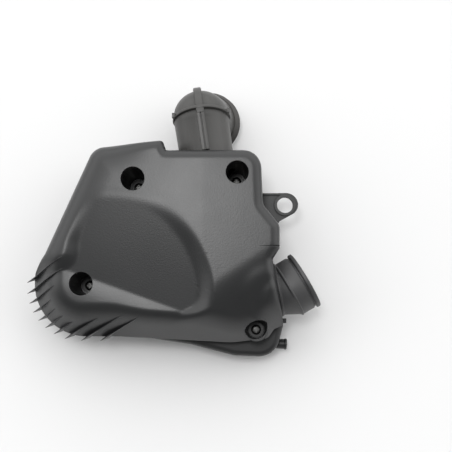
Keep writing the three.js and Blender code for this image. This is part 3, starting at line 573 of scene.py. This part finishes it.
EDGE = outline(COVER_CORNERS, FINE_STEP)
SUMP_RING = outline(SUMP_CORNERS, FINE_STEP)
SCOOP_RING = smooth_curve(SCOOP_RIM, 8)


def edge_run(keep):
    """The edge points that pass a test, in order, as one open run."""
    points = EDGE[keep]
    jumps = np.flatnonzero(np.linalg.norm(np.diff(points, axis=0), axis=1) > RUN_BREAK)
    return np.roll(points, -(jumps[0] + 1), 0) if len(jumps) else points


ON_BOOT_SIDE = (EDGE[:, 0] > BOOT_SIDE[0]) & (EDGE[:, 1] > BOOT_SIDE[1])
LOWER_RUN = edge_run((EDGE[:, 1] < LOWER_RUN_TOP) & ~ON_BOOT_SIDE)
UPPER_RUN = edge_run((EDGE[:, 1] > UPPER_RUN_FOOT) | ON_BOOT_SIDE)


def plateau(places):
    """Height of the plateau, with its fall and swells towards the boot."""
    x, y = places.T
    height = PLATEAU_Z - LEFT_FALL * np.maximum(0, LEFT_FALL_START - x)
    beyond = (x - FALL_START[0]) * FALL_HEADING[0] + (y - FALL_START[1]) * FALL_HEADING[1]
    eased = np.clip(beyond / FALL_EASE, 0, 1)
    height = height - FALL_SLOPE * (np.maximum(0, beyond - FALL_EASE) + FALL_EASE * eased**2 / 2)
    for centre_x, centre_y, radius, rise, rim in BOOT_SWELLS:
        away = np.hypot(x - centre_x, y - centre_y) / radius
        height = height + rise * smooth_step((1 - away) / rim)
    return np.minimum(height, PLATEAU_Z)


def scoop(places):
    """Height of the scoop's floor and of the wedge below its crease."""
    along = CREASE_END - CREASE_START
    along = along / np.linalg.norm(along)
    offset = places - CREASE_START
    above = along[0] * offset[:, 1] - along[1] * offset[:, 0]
    away = np.sqrt(above**2 + CREASE_SOFTNESS**2) - CREASE_SOFTNESS
    below = np.minimum(WEDGE_WIDTH, away)
    wedge = WEDGE_RISE * below * (1 - below / (2 * WEDGE_CROWN))
    return CREASE_Z + np.where(above > 0, FLOOR_RISE * away, wedge)


def cover_height(places):
    """Height of the cover's outer surface."""
    x = places[:, 0]
    side = np.where(is_inside(SCOOP_RING, places), 1, -1)
    rim_distance = side * distance_to(SCOOP_RING, places, closed=True)
    share = smooth_step(RIM_SHARE + rim_distance / RIM_WIDTH)
    top = mix(plateau(places), scoop(places), share)

    from_upper = distance_to(UPPER_RUN, places)
    on_left = smooth_step((LEFT_START - x) / LEFT_BLEND)
    rolled = top - on_left * LEFT_ROLL * np.maximum(0, LEFT_ROLL_WIDTH - from_upper) ** 2
    on_right = smooth_step((x - SMALL_SHOULDER_START) / SMALL_SHOULDER_BLEND)
    radius = mix(SHOULDER_RADIUS, SMALL_SHOULDER, on_right)
    edge = np.minimum(radius, from_upper)
    shouldered = rolled - radius + np.sqrt(radius**2 - (radius - edge) ** 2)

    rise = mix(FLANK_RISE, LEFT_FLANK_RISE, on_left)
    flank = FLANK_FOOT_Z + rise * distance_to(LOWER_RUN, places)
    return soft_lower(shouldered, flank, FLANK_ROUNDING)


def cavity_height(places):
    """Height of the cover's inner surface: one wall below and beside the outer one."""
    beside = [(0, 0), (WALL, 0), (-WALL, 0), (0, WALL), (0, -WALL)]
    return np.min([cover_height(places + np.array(step)) for step in beside], 0) - WALL


def capped(ring, height, shoulder_rows, inner_rows):
    """Rows that close a ring under a height, finer near its edge."""
    shoulder = SHOULDER_RADIUS * (1 - np.cos(np.linspace(0, pi / 2, shoulder_rows)))
    plans = [inset(ring, distance) for distance in shoulder]
    last = plans[-1]
    plans += [mix(np.array(CENTRE), last, f) for f in np.linspace(1, 0, inner_rows + 1)[1:-1]]
    rows = [at_height(plan, height(plan)) for plan in plans]
    centre = np.array([CENTRE], float)
    return rows + [at_height(centre, height(centre))]


def middle(z):
    """A row of one point at the middle of the plan."""
    return [[*CENTRE, z]]


# ---------------------------------------------------------------- outer cover


def fin(index):
    """One louvre: an upright blade, thinner towards its top, that ends in a point over the edge."""
    inward = np.array((cos(FIN_ANGLE), sin(FIN_ANGLE)))
    side = np.array((-inward[1], inward[0]))
    base = side * (FIN_FIRST_OFFSET - index * FIN_PITCH)
    line = base + FIN_SEARCH[:, None] * inward
    edge = line[is_inside(EDGE, line)][0]

    reach = mix(FIN_START, FIN_RUNS[index] - FIN_OVERHANG, FIN_SHARES)
    spots = edge + reach[:, None] * inward
    proud = FIN_PROUD * (1 - FIN_SHARES) ** FIN_FADE + mix(*FIN_MARGINS, FIN_SHARES)
    tops = cover_height(spots) + proud

    rows = [[[*(edge - FIN_OVERHANG * inward), FIN_TIP_Z - FIN_POINT_DROP]]]
    for step in FIN_POINT_SHARES:
        spot = edge - FIN_OVERHANG * (1 - step) * inward
        top = mix(FIN_TIP_Z, tops[0], step**FIN_TIP_CURVE)
        low = mix(FIN_TIP_Z - 1, FIN_BASE_Z, step)
        rows.append(blade_section(spot, side, low, top, FIN_WEB * step))
    for spot, top, way in zip(spots, tops, reach):
        root = mix(FIN_WEB, FIN_ROOT, smooth_step(way / FIN_WEB_RUN))
        rows.append(blade_section(spot, side, FIN_BASE_Z, top, root))
    rows.append([[*(spots[-1] + inward), FIN_TAIL_Z]])
    return rings("fin", rows)


def blade_section(spot, side, low, top, root):
    """Cross-section of a louvre of one root width, with a rounded top."""
    foot, edge = root / 2, min(root, FIN_EDGE) / 2
    crown = min(edge, (top - low) / 4)
    section = [
        (-foot, low), (foot, low), (edge, top - crown), (edge * 0.6, top - crown * 0.25),
        (0, top), (-edge * 0.6, top - crown * 0.25), (-edge, top - crown),
    ]
    return [[*(spot + side * across), z] for across, z in section]


def well_cuts(x, y, radius, bottom, foot_top):
    """The tube and round foot of one screw well, the bore down it and the screw's hole."""
    floor_radius = min(WELL_FLOOR_RADIUS, radius - WELL_DRAFT)
    floor = bottom + WELL_FLOOR
    foot = rod((x, y, bottom), (x, y, foot_top), floor_radius + WELL_WALL, radius + WELL_WALL)
    tube = rod((x, y, PARTING_Z + WELL_TUBE_FOOT), (x, y, CLEAR_Z), radius + WELL_WALL)
    bore = rod((x, y, floor), (x, y, CLEAR_Z), floor_radius, radius)
    hole_ends = (x, y, bottom - OVERCUT), (x, y, floor + OVERCUT)
    hole = rod(*hole_ends, SCREW_HOLE_RADIUS, count=SMALL_SIDES)
    return tube, foot, bore, hole


def stretched_mouth(x, y, radius):
    """The oval mouth where the low well breaks out of the sloping flank."""
    along = np.array((cos(LOW_WELL_ANGLE), sin(LOW_WELL_ANGLE)))
    side = np.array((-along[1], along[0]))
    angles = np.linspace(0, 2 * pi, SIDES, endpoint=False)[:, None]
    rows = []
    for z, share in LOW_WELL_ROWS:
        long = radius * mix(*LOW_WELL_STRETCH, share)
        plan = np.array((x, y)) + long * np.cos(angles) * along + radius * np.sin(angles) * side
        rows.append(at_height(plan, z))
    return rings("mouth", [[[x, y, LOW_WELL_ROWS[0][0]]], *rows, [[x, y, CLEAR_Z]]])


def ledge_line():
    """A fine step line across the plateau above the boot, deeper towards the edge."""
    rows = []
    for share in np.linspace(0, 1, 9):
        x, y = mix(np.array(LEDGE_START), np.array(LEDGE_END), share)
        half = mix(*LEDGE_HALF_WIDTH, share)
        top = cover_height(np.array([[x, y]]))[0]
        deep = top - mix(*LEDGE_DEPTH, share)
        high = top + LEDGE_CLEARANCE
        rows.append([(x, y, deep), (x, y + half, high), (x, y - half, high)])
    return rings("ledge", [[np.mean(rows[0], 0)], *rows, [np.mean(rows[-1], 0)]])


def port_cut(centre, out, hole_radius, flange_radius):
    """A port's hole through the wall, and the room for its flange inside."""
    centre, out = Vector(centre), Vector(out)
    hole = rod(centre - out * PORT_INNER_REACH, centre + out * PORT_OUTER_REACH, hole_radius)
    room = rod(centre - out * (PORT_INNER_REACH + 0.1), centre - out * WALL, flange_radius)
    return joined(hole, room)


def ports():
    """The cuts for the boot and for the intake elbow."""
    boot = port_cut(BOOT_CENTRE, BOOT_OUT, BOOT_HOLE_RADIUS + GAP, BOOT_FLANGE + 1)
    intake = port_cut(INTAKE_CENTRE, (0, 1, 0), INTAKE_HOLE_RADIUS + GAP, INTAKE_FLANGE + 1)
    return boot, intake


def cover_envelope():
    """The cover's outer form as one solid body."""
    floor = PARTING_Z + GAP
    walls = [at_height(EDGE, z) for z in (floor, floor + 1.5)]
    return rings("envelope", [middle(floor), *walls, *capped(EDGE, cover_height, *COVER_ROWS)])


def outer_cover():
    """The cover: its shell, fins and screw wells, with every hole cut."""
    body = joined(cover_envelope(), *[fin(index) for index in range(len(FIN_RUNS))])
    below = PARTING_Z + GAP - OVERCUT
    inner = inset(EDGE, WALL)
    top_rows = capped(inner, cavity_height, *CAVITY_ROWS)
    cut(body, rings("cavity", [middle(below), at_height(inner, below), *top_rows]))
    bores = []
    for well in WELLS:
        tube, foot, bore, hole = well_cuts(*well)
        combined(tube, cover_envelope(), "INTERSECT")
        joined(body, tube, foot)
        bores += [bore, hole]
    cut(body, *bores, stretched_mouth(*LOW_WELL[:3]), ledge_line(), *ports())
    body.name = "cover_shell"
    return body


# ---------------------------------------------------------------- rear case


def sump(ring, inward):
    """The sump: rounded above and below, with its surface moved inward."""
    angles = np.linspace(0, pi / 2, 7)
    reach = SUMP_ROUNDING - inward
    low, high = BACK_Z + inward, SUMP_TOP_Z - inward
    centre = ring.mean(0)
    run = np.roll(ring, -1, 0) - np.roll(ring, 1, 0)
    out = np.column_stack([run[:, 1], -run[:, 0]]) / np.linalg.norm(run, axis=1)[:, None]
    if ((ring - centre) * out).sum() < 0:
        out = -out
    below = [at_height(ring + out * reach * sin(a), low + reach * (1 - cos(a))) for a in angles]
    above = [at_height(ring + out * reach * cos(a), high - reach * (1 - sin(a))) for a in angles]
    start, end = [[*centre, low]], [[*centre, high]]
    return rings("sump", [start, *below, *above, end])


def rear_case():
    """The case: its shell with the sump, lug, spout and ribs, hollowed, with every hole cut."""
    body = rings("case_shell", [
        middle(BACK_Z), *foot_rows(CASE_FOOT), at_height(EDGE, PARTING_Z), middle(PARTING_Z),
    ])
    above = PARTING_Z + 2
    cavity = rings("cavity", [
        middle(BACK_Z + WALL), *foot_rows(CASE_INNER_FOOT), at_height(inset(EDGE, WALL), above),
        middle(above),
    ])
    joined(body, sump(SUMP_RING, 0), *lug(), *spout(), *back_ribs())
    joined(body, block(*EDGE_NUB))
    cut(body, cavity, sump(SUMP_RING, WALL))
    joined(body, rim_ledge(), *case_posts())
    cut(body, seal_groove(), *ports(), *case_bores())
    return body


def foot_rows(foot):
    """Rows round the rounded foot of the case, from (distance inward, height above the back)."""
    return [at_height(inset(EDGE, step), BACK_Z + rise) for step, rise in foot]


def band(outer, inner, low, high):
    """A band between two rings."""
    rows = [at_height(outer, low), at_height(outer, high), at_height(inner, high),
            at_height(inner, low)]
    return rings("band", rows, closed=True)


def seal_groove():
    """The groove for the seal in the top of the rim."""
    outer, inner = [inset(EDGE, distance) for distance in SEAL_GROOVE]
    return band(outer, inner, PARTING_Z - SEAL_GROOVE_DEPTH, PARTING_Z + OVERCUT)


def rim_ledge():
    """The inward ledge that carries the seal."""
    outer, inner = inset(EDGE, WALL - 0.5), inset(EDGE, RIM_LEDGE_WIDTH)
    return band(outer, inner, PARTING_Z - RIM_LEDGE_DEPTH, PARTING_Z)


def case_posts():
    """Screw bosses and the posts that the filter carrier stands on."""
    foot = BACK_Z + 1
    bosses = [rod((x, y, foot), (x, y, bottom - GAP), *BOSS_RADII) for x, y, _, bottom, _ in WELLS]
    posts = [
        rod((x, y, foot), (x, y, CARRIER_POST_TOP_Z), *CARRIER_POST_RADII, SMALL_SIDES)
        for x, y in CARRIER_POSTS
    ]
    return bosses + posts


def case_bores():
    """Pilot holes, the lug's eye and the spout's bore."""
    pilot_radius = SHANK_RADIUS + GAP
    pilots = [
        rod((x, y, bottom - PILOT_DEPTH), (x, y, bottom + OVERCUT), pilot_radius, count=PILOT_SIDES)
        for x, y, _, bottom, _ in WELLS
    ]
    below, above = LUG_EYE_REACH
    eye = rod((*LUG_CENTRE, PARTING_Z - below), (*LUG_CENTRE, PARTING_Z + above), LUG_HOLE_RADIUS)
    start, end = Vector(SPOUT_START), Vector(SPOUT_END)
    away = end - start
    bore = rod(start - away * 0.3, end + away * 0.2, SPOUT_BORE, count=SMALL_SIDES)
    return [*pilots, eye, bore]


def lug():
    """The mounting lug: a plate, the raised rim of its eye and the lip along its upper edge."""
    plate_low, plate_high = [PARTING_Z - depth for depth in LUG_PLATE_DEPTHS]
    rim_low, rim_high = [PARTING_Z - depth for depth in LUG_RIM_DEPTHS]
    lip_low, lip_high = [PARTING_Z - depth for depth in LUG_LIP_DEPTHS]
    plate = prism(outline(LUG_CORNERS, 1), plate_low, plate_high)
    rim = rod((*LUG_CENTRE, rim_low), (*LUG_CENTRE, rim_high), LUG_HOLE_RADIUS + LUG_RIM_WIDTH)
    lip = block((*LUG_LIP_START, lip_low), (LUG_CENTRE[0], LUG_LIP_Y, lip_high))
    return plate, rim, lip


def spout():
    """The drain spout, with a bead at its end."""
    start, end = Vector(SPOUT_START), Vector(SPOUT_END)
    length = (end - start).length
    profile = [
        (0, 0), (0, SPOUT_RADIUS), (length - 2.4, SPOUT_RADIUS), (length - 2, SPOUT_RADIUS + 0.35),
        (length - 1.2, SPOUT_RADIUS + 0.5), (length - 0.5, SPOUT_RADIUS + 0.35),
        (length, SPOUT_RADIUS - 0.1), (length, 0),
    ]
    return [turned("spout", start, end - start, profile, FASTENER_SIDES)]


def back_ribs():
    """The ribs that the case rests on."""
    top, width = BACK_Z + 1, BACK_RIB_WIDTH
    across = [block((x, y, 0), (end, y + width, top)) for x, end, y in BACK_RIBS_ACROSS]
    low, high = BACK_RIB_RUN
    return across + [block((x, low, 0), (x + width, high, top)) for x in BACK_RIBS_ALONG]


# ---------------------------------------------------------------- boot


def boot_station(reach, radius, nose):
    """A round section of the boot, square to its root or to its turned nose."""
    angle = BOOT_TURN if nose else BOOT_LEAN
    centre = Vector(BOOT_CENTRE)
    if nose:
        centre += BOOT_NOSE_SHIFT
    centre += Vector((cos(angle), sin(angle), 0)) * reach
    return circle(centre, (-sin(angle), cos(angle), 0), (0, 0, 1), radius)


def outlet_boot():
    """The boot: root flange, wall groove, crease bead, clamp groove, lip and bore."""
    root = [
        (-5.8, BOOT_FLANGE - 0.4), (-5.4, BOOT_FLANGE), (-3.2, BOOT_FLANGE),
        (-2.8, BOOT_FLANGE - 0.4), (-2.8, BOOT_HOLE_RADIUS), (0.3, BOOT_HOLE_RADIUS),
        (0.3, 22.2), (0.7, 22.6), (2, 22.6), (2.4, 22.3), (2.6, 21.8), (3, 21.6),
    ]
    nose = [
        (-1.6, 23.1), (-1, 23.9), (-0.4, 24.7), (0.4, 24.7), (1, BOOT_RADIUS), (11, BOOT_RADIUS),
        (11.5, 23.9), (11.8, 23.4), (12.1, 23.2), (13.2, 23.2), (13.4, 23.5), (13.5, 24.6),
        (13.9, 25.1), (14.4, BOOT_LIP_RADIUS), (16.2, BOOT_LIP_RADIUS), (16.6, 25), (16.8, 24.5),
        (16.8, 20.6), (16.5, 20.1), (16, BOOT_BORE), (1, BOOT_BORE),
    ]
    rows = [boot_station(reach, radius, False) for reach, radius in root]
    rows += [boot_station(reach, radius, True) for reach, radius in nose]
    rows += [boot_station(reach, BOOT_ROOT_BORE, False) for reach in BOOT_ROOT_REACH]
    return rings("boot_skin", rows, closed=True)


# ---------------------------------------------------------------- elbow and bellows


def elbow_form(extra):
    """The elbow's outer form, at a distance outside its wall line."""
    radius = DOME_RADIUS + extra
    body = rod(INTAKE_CENTRE, ELBOW_TURN, ELBOW_RADIUS + extra, radius - TUBE_TAPER)
    joined(body, ball(ELBOW_TURN, radius), rod(ELBOW_TURN, ELBOW_END, radius - JOIN_SLACK))
    behind_wall = block((-100, 60, -50), (100, INTAKE_CENTRE[1] + GAP, 150))
    return cut(body, behind_wall)


def elbow_rib(offset, width, proud, start):
    """A rib along the elbow's back, at a distance from its middle plane."""
    x, y, z = INTAKE_CENTRE
    lean = atan2(x - ELBOW_TURN[0], ELBOW_TURN[1] - y)
    low, high = RIB_SLAB_HEIGHTS
    slab = block((offset - width / 2, start, low), (offset + width / 2, RIB_SLAB_END, high))
    datum = Vector((*DATUM, 0)) * MM
    slab.data.transform(Matrix.Translation(datum + Vector((0, 0, z)) * MM))
    slab.data.transform(Matrix.Translation(Vector((x, y, 0)) * MM) @ Matrix.Rotation(lean, 4, "Z"))
    slab.data.transform(Matrix.Translation(-datum))
    return combined(elbow_form(proud), slab, "INTERSECT")


def intake_elbow():
    """The elbow: neck, tube, dome and drop, with its rings, lugs and ribs, and its bore."""
    centre, out = Vector(INTAKE_CENTRE), Vector((0, 1, 0))
    wall_inside = WALL + GAP
    neck_start = centre - out * (wall_inside + NECK_FLANGE)
    body = elbow_form(0)
    joined(
        body,
        rod(neck_start, centre - out * wall_inside, INTAKE_FLANGE),
        rod(neck_start, centre + out * NECK_OVERLAP, NECK_RADIUS),
        seam_ring(centre, out),
        mitre_ring(),
        *mitre_lugs(),
        *[elbow_rib(*rib) for rib in ELBOW_RIBS],
    )
    inner = DOME_RADIUS - ELBOW_WALL
    return cut(
        body,
        block(KEY_LOW, KEY_HIGH),
        rod(centre - out * PORT_INNER_REACH, centre + out * NECK_BORE_END, NECK_RADIUS - NECK_WALL),
        rod(centre + out * TUBE_BORE_START, ELBOW_TURN, TUBE_BORE),
        ball(ELBOW_TURN, inner),
        rod(ELBOW_TURN, ELBOW_END + ELBOW_DROP * NECK_BORE_END, inner - JOIN_SLACK),
    )


def seam_ring(centre, out):
    """The flange that the elbow shows at the wall."""
    edge = SEAM_RADIUS - 0.3
    profile = [
        (GAP, 0), (GAP, edge), (0.6, SEAM_RADIUS), (1.8, SEAM_RADIUS), (2.2, edge), (2.2, 0),
    ]
    return turned("seam", centre, out, profile)


def mitre_ring():
    """The raised ring where the straight tube meets the dome."""
    rim = DOME_RADIUS + MITRE_PROUD
    rise = [(-MITRE_HALF, rim - 0.8), (-1.1, rim - 0.25), (-0.5, rim)]
    fall = [(-reach, radius) for reach, radius in reversed(rise)]
    profile = [(-MITRE_HALF, 0), *rise, *fall, (MITRE_HALF, 0)]
    return turned("mitre", MITRE_CENTRE, MITRE_AXIS, profile)


def mitre_lugs():
    """The small lug at each end of the raised ring."""
    half = Vector(MITRE_LUG)
    places = [Vector(MITRE_CENTRE) + Vector(offset) for offset in MITRE_LUG_OFFSETS]
    return [block(place - half, place + half) for place in places]


def intake_bellows():
    """The bellows under the elbow: its folds, its rolled mouth and its bore."""
    pitch = (BELLOWS_LENGTH - GAP) / BELLOWS_FOLDS
    profile = []
    for fold in range(BELLOWS_FOLDS):
        for share in np.linspace(0, 1, 9)[:-1]:
            crest = BELLOWS_RADIUS - 1 + cos(2 * pi * (share - 0.5))
            profile.append((GAP + (fold + share) * pitch, crest))
    profile += [(BELLOWS_LENGTH - 0.3, BELLOWS_RADIUS - 1.4), (BELLOWS_LENGTH, BELLOWS_RADIUS - 2)]
    profile += [(BELLOWS_LENGTH, BELLOWS_RADIUS - 4), (GAP, DOME_RADIUS - ELBOW_WALL)]
    return turned("bellows_skin", ELBOW_END, ELBOW_DROP, profile, closed=True)


# ---------------------------------------------------------------- fasteners and foam


def seat(index):
    """Where a screw's washer rests, just above the floor of its well."""
    x, y, _, bottom, _ = WELLS[index]
    return Vector((x, y, bottom + WELL_FLOOR + GAP))


def cover_screw(index):
    """A pan-head screw with a pointed tip and a cross recess."""
    under = WASHER_THICKNESS + GAP
    tip = under - SHANK_LENGTH - TIP_LENGTH
    profile = [(tip, 0), (tip + 0.1, 0.8), (tip + 2.4, SHANK_RADIUS)]
    profile += [(under, SHANK_RADIUS), (under, HEAD_RADIUS - 0.1), (under + 0.2, HEAD_RADIUS)]
    for angle in np.linspace(0.25, pi / 2, 8)[:-1]:
        profile.append((under + HEAD_HEIGHT * sin(angle), HEAD_RADIUS * cos(angle) ** 0.55))
    profile.append((under + HEAD_HEIGHT, 0))
    name = f"screw_{index + 1}_fine"
    screw = turned(name, seat(index), (0, 0, 1), profile, FASTENER_SIDES)
    floor = seat(index) + Vector((0, 0, under + HEAD_HEIGHT * CROSS_FLOOR))
    for across, ahead in ((CROSS_LENGTH, CROSS_WIDTH), (CROSS_WIDTH, CROSS_LENGTH)):
        corner = Vector((across, ahead, 0))
        cut(screw, block(floor - corner, floor + corner + Vector((0, 0, 4))))
    return screw


def screw_washer(index):
    """A plain washer with rounded edges."""
    thick, wide = WASHER_THICKNESS, WASHER_RADIUS
    profile = [
        (0, WASHER_BORE), (0, wide - WASHER_ROUND), (WASHER_ROUND, wide),
        (thick - WASHER_ROUND, wide), (thick, wide - WASHER_ROUND), (thick, WASHER_BORE),
    ]
    name = f"washer_{index + 1}_fine"
    return turned(name, seat(index), (0, 0, 1), profile, FASTENER_SIDES, closed=True)


def foam_pad():
    """The foam pad: a soft slab with rounded edges, cut out round the deep wells."""
    ring = outline(FOAM_CORNERS, FINE_STEP)
    bottom, top = FOAM_Z
    below, above = bottom + FOAM_MARGINS[0], top - FOAM_MARGINS[1]
    shares = np.linspace(0.1, 1, 14)
    flat = inset(ring, FOAM_ROUNDING)
    rows = [middle(below)]
    rows += [at_height(mix(np.array(CENTRE), flat, share), below) for share in shares[:-1]]
    for angle in np.linspace(0, pi, 9):
        level = mix(below, above, (1 - cos(angle)) / 2)
        rows.append(at_height(inset(ring, FOAM_ROUNDING - 1.9 * sin(angle)), level))
    rows += [at_height(mix(np.array(CENTRE), flat, share), above) for share in shares[-2::-1]]
    rows.append(middle(above))
    pad = rings("foam_pad", rows)
    for x, y, radius, _, _ in WELLS:
        if (x, y) != LOW_WELL[:2]:
            well_radius = radius + WELL_WALL + FOAM_WELL_CLEARANCE
            cut(pad, rod((x, y, bottom - OVERCUT), (x, y, top + OVERCUT), well_radius))
    return pad


# ---------------------------------------------------------------- materials


def linked(tree, kind, inputs=None, **settings):
    """A shader node with its settings; inputs are values or other nodes' outputs."""
    node = tree.nodes.new(kind)
    for name, value in settings.items():
        setattr(node, name, value)
    for name, value in (inputs or {}).items():
        if isinstance(value, bpy.types.NodeSocket):
            tree.links.new(value, node.inputs[name])
        else:
            node.inputs[name].default_value = value
    return node


def material(name, colour, roughness, edge, grain, grain_scale=900, mottle=0.05, metallic=0,
             specular=0.5):
    """A moulded or turned surface: mottled colour, fine grain, rounded edges, painted shade in
    crevices.
    """
    made = bpy.data.materials.new(name)
    made.use_nodes = True
    tree = made.node_tree
    tree.nodes.clear()
    where = linked(tree, "ShaderNodeTexCoord").outputs["Object"]
    cloud = linked(tree, "ShaderNodeTexNoise", {
        "Vector": where, "Scale": CLOUD_SCALE, "Detail": 5,
    })
    fine = linked(tree, "ShaderNodeTexNoise", {"Vector": where, "Scale": grain_scale, "Detail": 2})
    base = linked(tree, "ShaderNodeMix", data_type="RGBA")
    tree.links.new(cloud.outputs["Fac"], base.inputs[0])
    base.inputs[6].default_value = [c * (1 - mottle) for c in colour] + [1]
    base.inputs[7].default_value = [c * (1 + mottle) for c in colour] + [1]
    rough = linked(tree, "ShaderNodeMapRange", {
        "Value": cloud.outputs["Fac"],
        "To Min": roughness - ROUGHNESS_SPREAD, "To Max": roughness + ROUGHNESS_SPREAD,
    })
    soft = linked(tree, "ShaderNodeBevel", {"Radius": edge * MM}, samples=6)
    bump = linked(tree, "ShaderNodeBump", {
        "Height": fine.outputs["Fac"], "Strength": grain, "Distance": GRAIN_DEPTH,
        "Normal": soft.outputs[0],
    })
    # Painted shade: ambient occlusion lowers the specular level in crevices, between the louvres and
    # down the wells.
    open_sky = linked(tree, "ShaderNodeAmbientOcclusion", {"Distance": CREVICE_REACH}, samples=8)
    painted_shade_specular = linked(tree, "ShaderNodeMapRange", {
        "Value": open_sky.outputs["AO"], "To Min": specular * PAINTED_SHADE_SPECULAR_SHARE, "To Max": specular,
    })
    shader = linked(tree, "ShaderNodeBsdfPrincipled", {
        "Base Color": base.outputs[2], "Roughness": rough.outputs[0],
        "Metallic": metallic, "Specular IOR Level": painted_shade_specular.outputs[0], "Normal": bump.outputs[0],
    })
    output = linked(tree, "ShaderNodeOutputMaterial")
    tree.links.new(shader.outputs[0], output.inputs[0])
    return made


COVER_PLASTIC = material("cover_plastic", (0.014, 0.0145, 0.015), 0.34, 0.6, 0.25)
CASE_PLASTIC = material("case_plastic", (0.012, 0.0125, 0.013), 0.42, 0.5, 0.25)
INNER_PLASTIC = material("inner_plastic", (0.04, 0.04, 0.042), 0.55, 0.3, 0.2)
ELBOW_PLASTIC = material("elbow_plastic", (0.04, 0.039, 0.037), 0.38, 0.6, 0.45)
BOOT_RUBBER = material("boot_rubber", (0.04, 0.04, 0.041), 0.46, 0.4, 0.3, mottle=0.1)
BELLOWS_RUBBER = material("bellows_rubber", (0.036, 0.034, 0.032), 0.44, 0.3, 0.3, mottle=0.1)
SEAL_RUBBER = material("seal_rubber", (0.02, 0.02, 0.02), 0.6, 0.3, 0.1)
FOAM = material("foam", (0.16, 0.15, 0.09), 0.95, 0.4, 1.0, 1400, 0.25, specular=0.15)
STEEL = material("screw_steel", (0.09, 0.09, 0.088), 0.38, 0.12, 0.1, metallic=1)
BLACK_STEEL = material("washer_black", (0.03, 0.03, 0.03), 0.4, 0.12, 0.1)


def dress(piece, body, look, slot, *nodes):
    """Gives a fine piece its material and its place in the part."""
    piece.data.materials.clear()
    piece.data.materials.append(look)
    for polygon in piece.data.polygons:
        polygon.use_smooth = True
    piece.data.set_sharp_from_angle(angle=EDGE_ANGLE)
    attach(piece, body)
    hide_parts(*nodes)
    return piece


def recolour(node, look):
    """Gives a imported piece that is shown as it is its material."""
    piece = frame["nodes"][node]
    piece.data.materials.clear()
    piece.data.materials.append(look)


dress(outer_cover(), "cover", COVER_PLASTIC, "cover_plastic", "outer_cover")
dress(rear_case(), "case", CASE_PLASTIC, "case_plastic", "rear_case")
dress(outlet_boot(), "case", BOOT_RUBBER, "boot_rubber", "outlet_boot")
dress(intake_elbow(), "case", ELBOW_PLASTIC, "elbow_plastic", "intake_elbow")
dress(intake_bellows(), "case", BELLOWS_RUBBER, "bellows_rubber", "intake_bellows")
for index in range(len(WELLS)):
    number = index + 1
    screw, washer = cover_screw(index), screw_washer(index)
    dress(screw, f"screw_{number}", STEEL, "screw_steel", f"cover_screw_{number}")
    dress(washer, f"screw_{number}", BLACK_STEEL, "washer_black", f"screw_washer_{number}")
foam = dress(foam_pad(), "filter", FOAM, "foam", "foam_element")

for node in ("rim_seal_long", "rim_seal_short", "intake_seal"):
    recolour(node, SEAL_RUBBER)
for node in ("filter_carrier", "foam_retainer", "outlet_hood", "boot_sleeve"):
    recolour(node, INNER_PLASTIC)

# ---------------------------------------------------------------- floor, light and camera


def floor():
    """A plain pale floor."""
    half, z = FLOOR_HALF, FLOOR_Z
    corners = [(-half, -half, z), (half, -half, z), (half, half, z), (-half, half, z)]
    made = mesh_object("floor", corners, [(0, 1, 2, 3)])
    paper = bpy.data.materials.new("paper")
    paper.use_nodes = True
    shader = paper.node_tree.nodes["Principled BSDF"]
    shader.inputs["Base Color"].default_value = (FLOOR_TONE, FLOOR_TONE, FLOOR_TONE, 1)
    shader.inputs["Roughness"].default_value = FLOOR_ROUGHNESS
    made.data.materials.append(paper)


def softbox(name, place, target, size, power):
    """A square soft light at a drawing-frame place, aimed at another."""
    light = bpy.data.lights.new(name, "AREA")
    light.size = size
    light.energy = power
    made = bpy.data.objects.new(name, light)
    start, end = [(Vector(p) - Vector((*DATUM, 0))) * MM for p in (place, target)]
    made.location = start
    made.rotation_mode = "QUATERNION"
    made.rotation_quaternion = (end - start).to_track_quat("-Z", "Y")
    bpy.context.collection.objects.link(made)


def world():
    """A studio that is bright behind, beside and low down, and dark overhead and in front."""
    made = bpy.data.worlds.new("studio")
    made.use_nodes = True
    tree = made.node_tree
    sky = tree.nodes["Background"]
    sky.inputs["Color"].default_value = (1, 1, 1, 1)
    where = linked(tree, "ShaderNodeTexCoord").outputs["Generated"]
    parts = linked(tree, "ShaderNodeSeparateXYZ", {"Vector": where})
    aside = linked(tree, "ShaderNodeMath", {0: parts.outputs["X"]}, operation="ABSOLUTE")
    around = linked(tree, "ShaderNodeMath", {
        0: aside.outputs[0], 1: SIDE_WEIGHT, 2: parts.outputs["Y"],
    }, operation="MULTIPLY_ADD")
    walls = linked(tree, "ShaderNodeMapRange", {
        "Value": around.outputs[0], "From Min": WALL_BAND[0], "From Max": WALL_BAND[1],
        "To Min": ZENITH_LIGHT, "To Max": WALL_LIGHT,
    })
    low = linked(tree, "ShaderNodeMapRange", {
        "Value": parts.outputs["Z"], "From Min": HORIZON_BAND[0], "From Max": HORIZON_BAND[1],
        "To Min": HORIZON_LIGHT, "To Max": ZENITH_LIGHT,
    })
    level = linked(tree, "ShaderNodeMath", {
        0: walls.outputs[0], 1: low.outputs[0],
    }, operation="MAXIMUM")
    tree.links.new(level.outputs[0], sky.inputs["Strength"])
    bpy.context.scene.world = made


def camera():
    """The camera, above the drawing's origin and tilted back a little."""
    lens = bpy.data.cameras.new("camera")
    lens.sensor_width = CAMERA_SENSOR
    lens.lens = lens.sensor_width / 2 / tan(CAMERA_FIELD / 2)
    made = bpy.data.objects.new("camera", lens)
    made.location = (-DATUM[0] * MM, -DATUM[1] * MM, CAMERA_HEIGHT)
    made.rotation_euler = (CAMERA_TILT, 0, 0)
    bpy.context.collection.objects.link(made)
    bpy.context.scene.camera = made


floor()
world()
softbox("key", KEY_PLACE, KEY_TARGET, KEY_SIZE, KEY_POWER)
camera()

bpy.context.scene.view_settings.view_transform = "Standard"
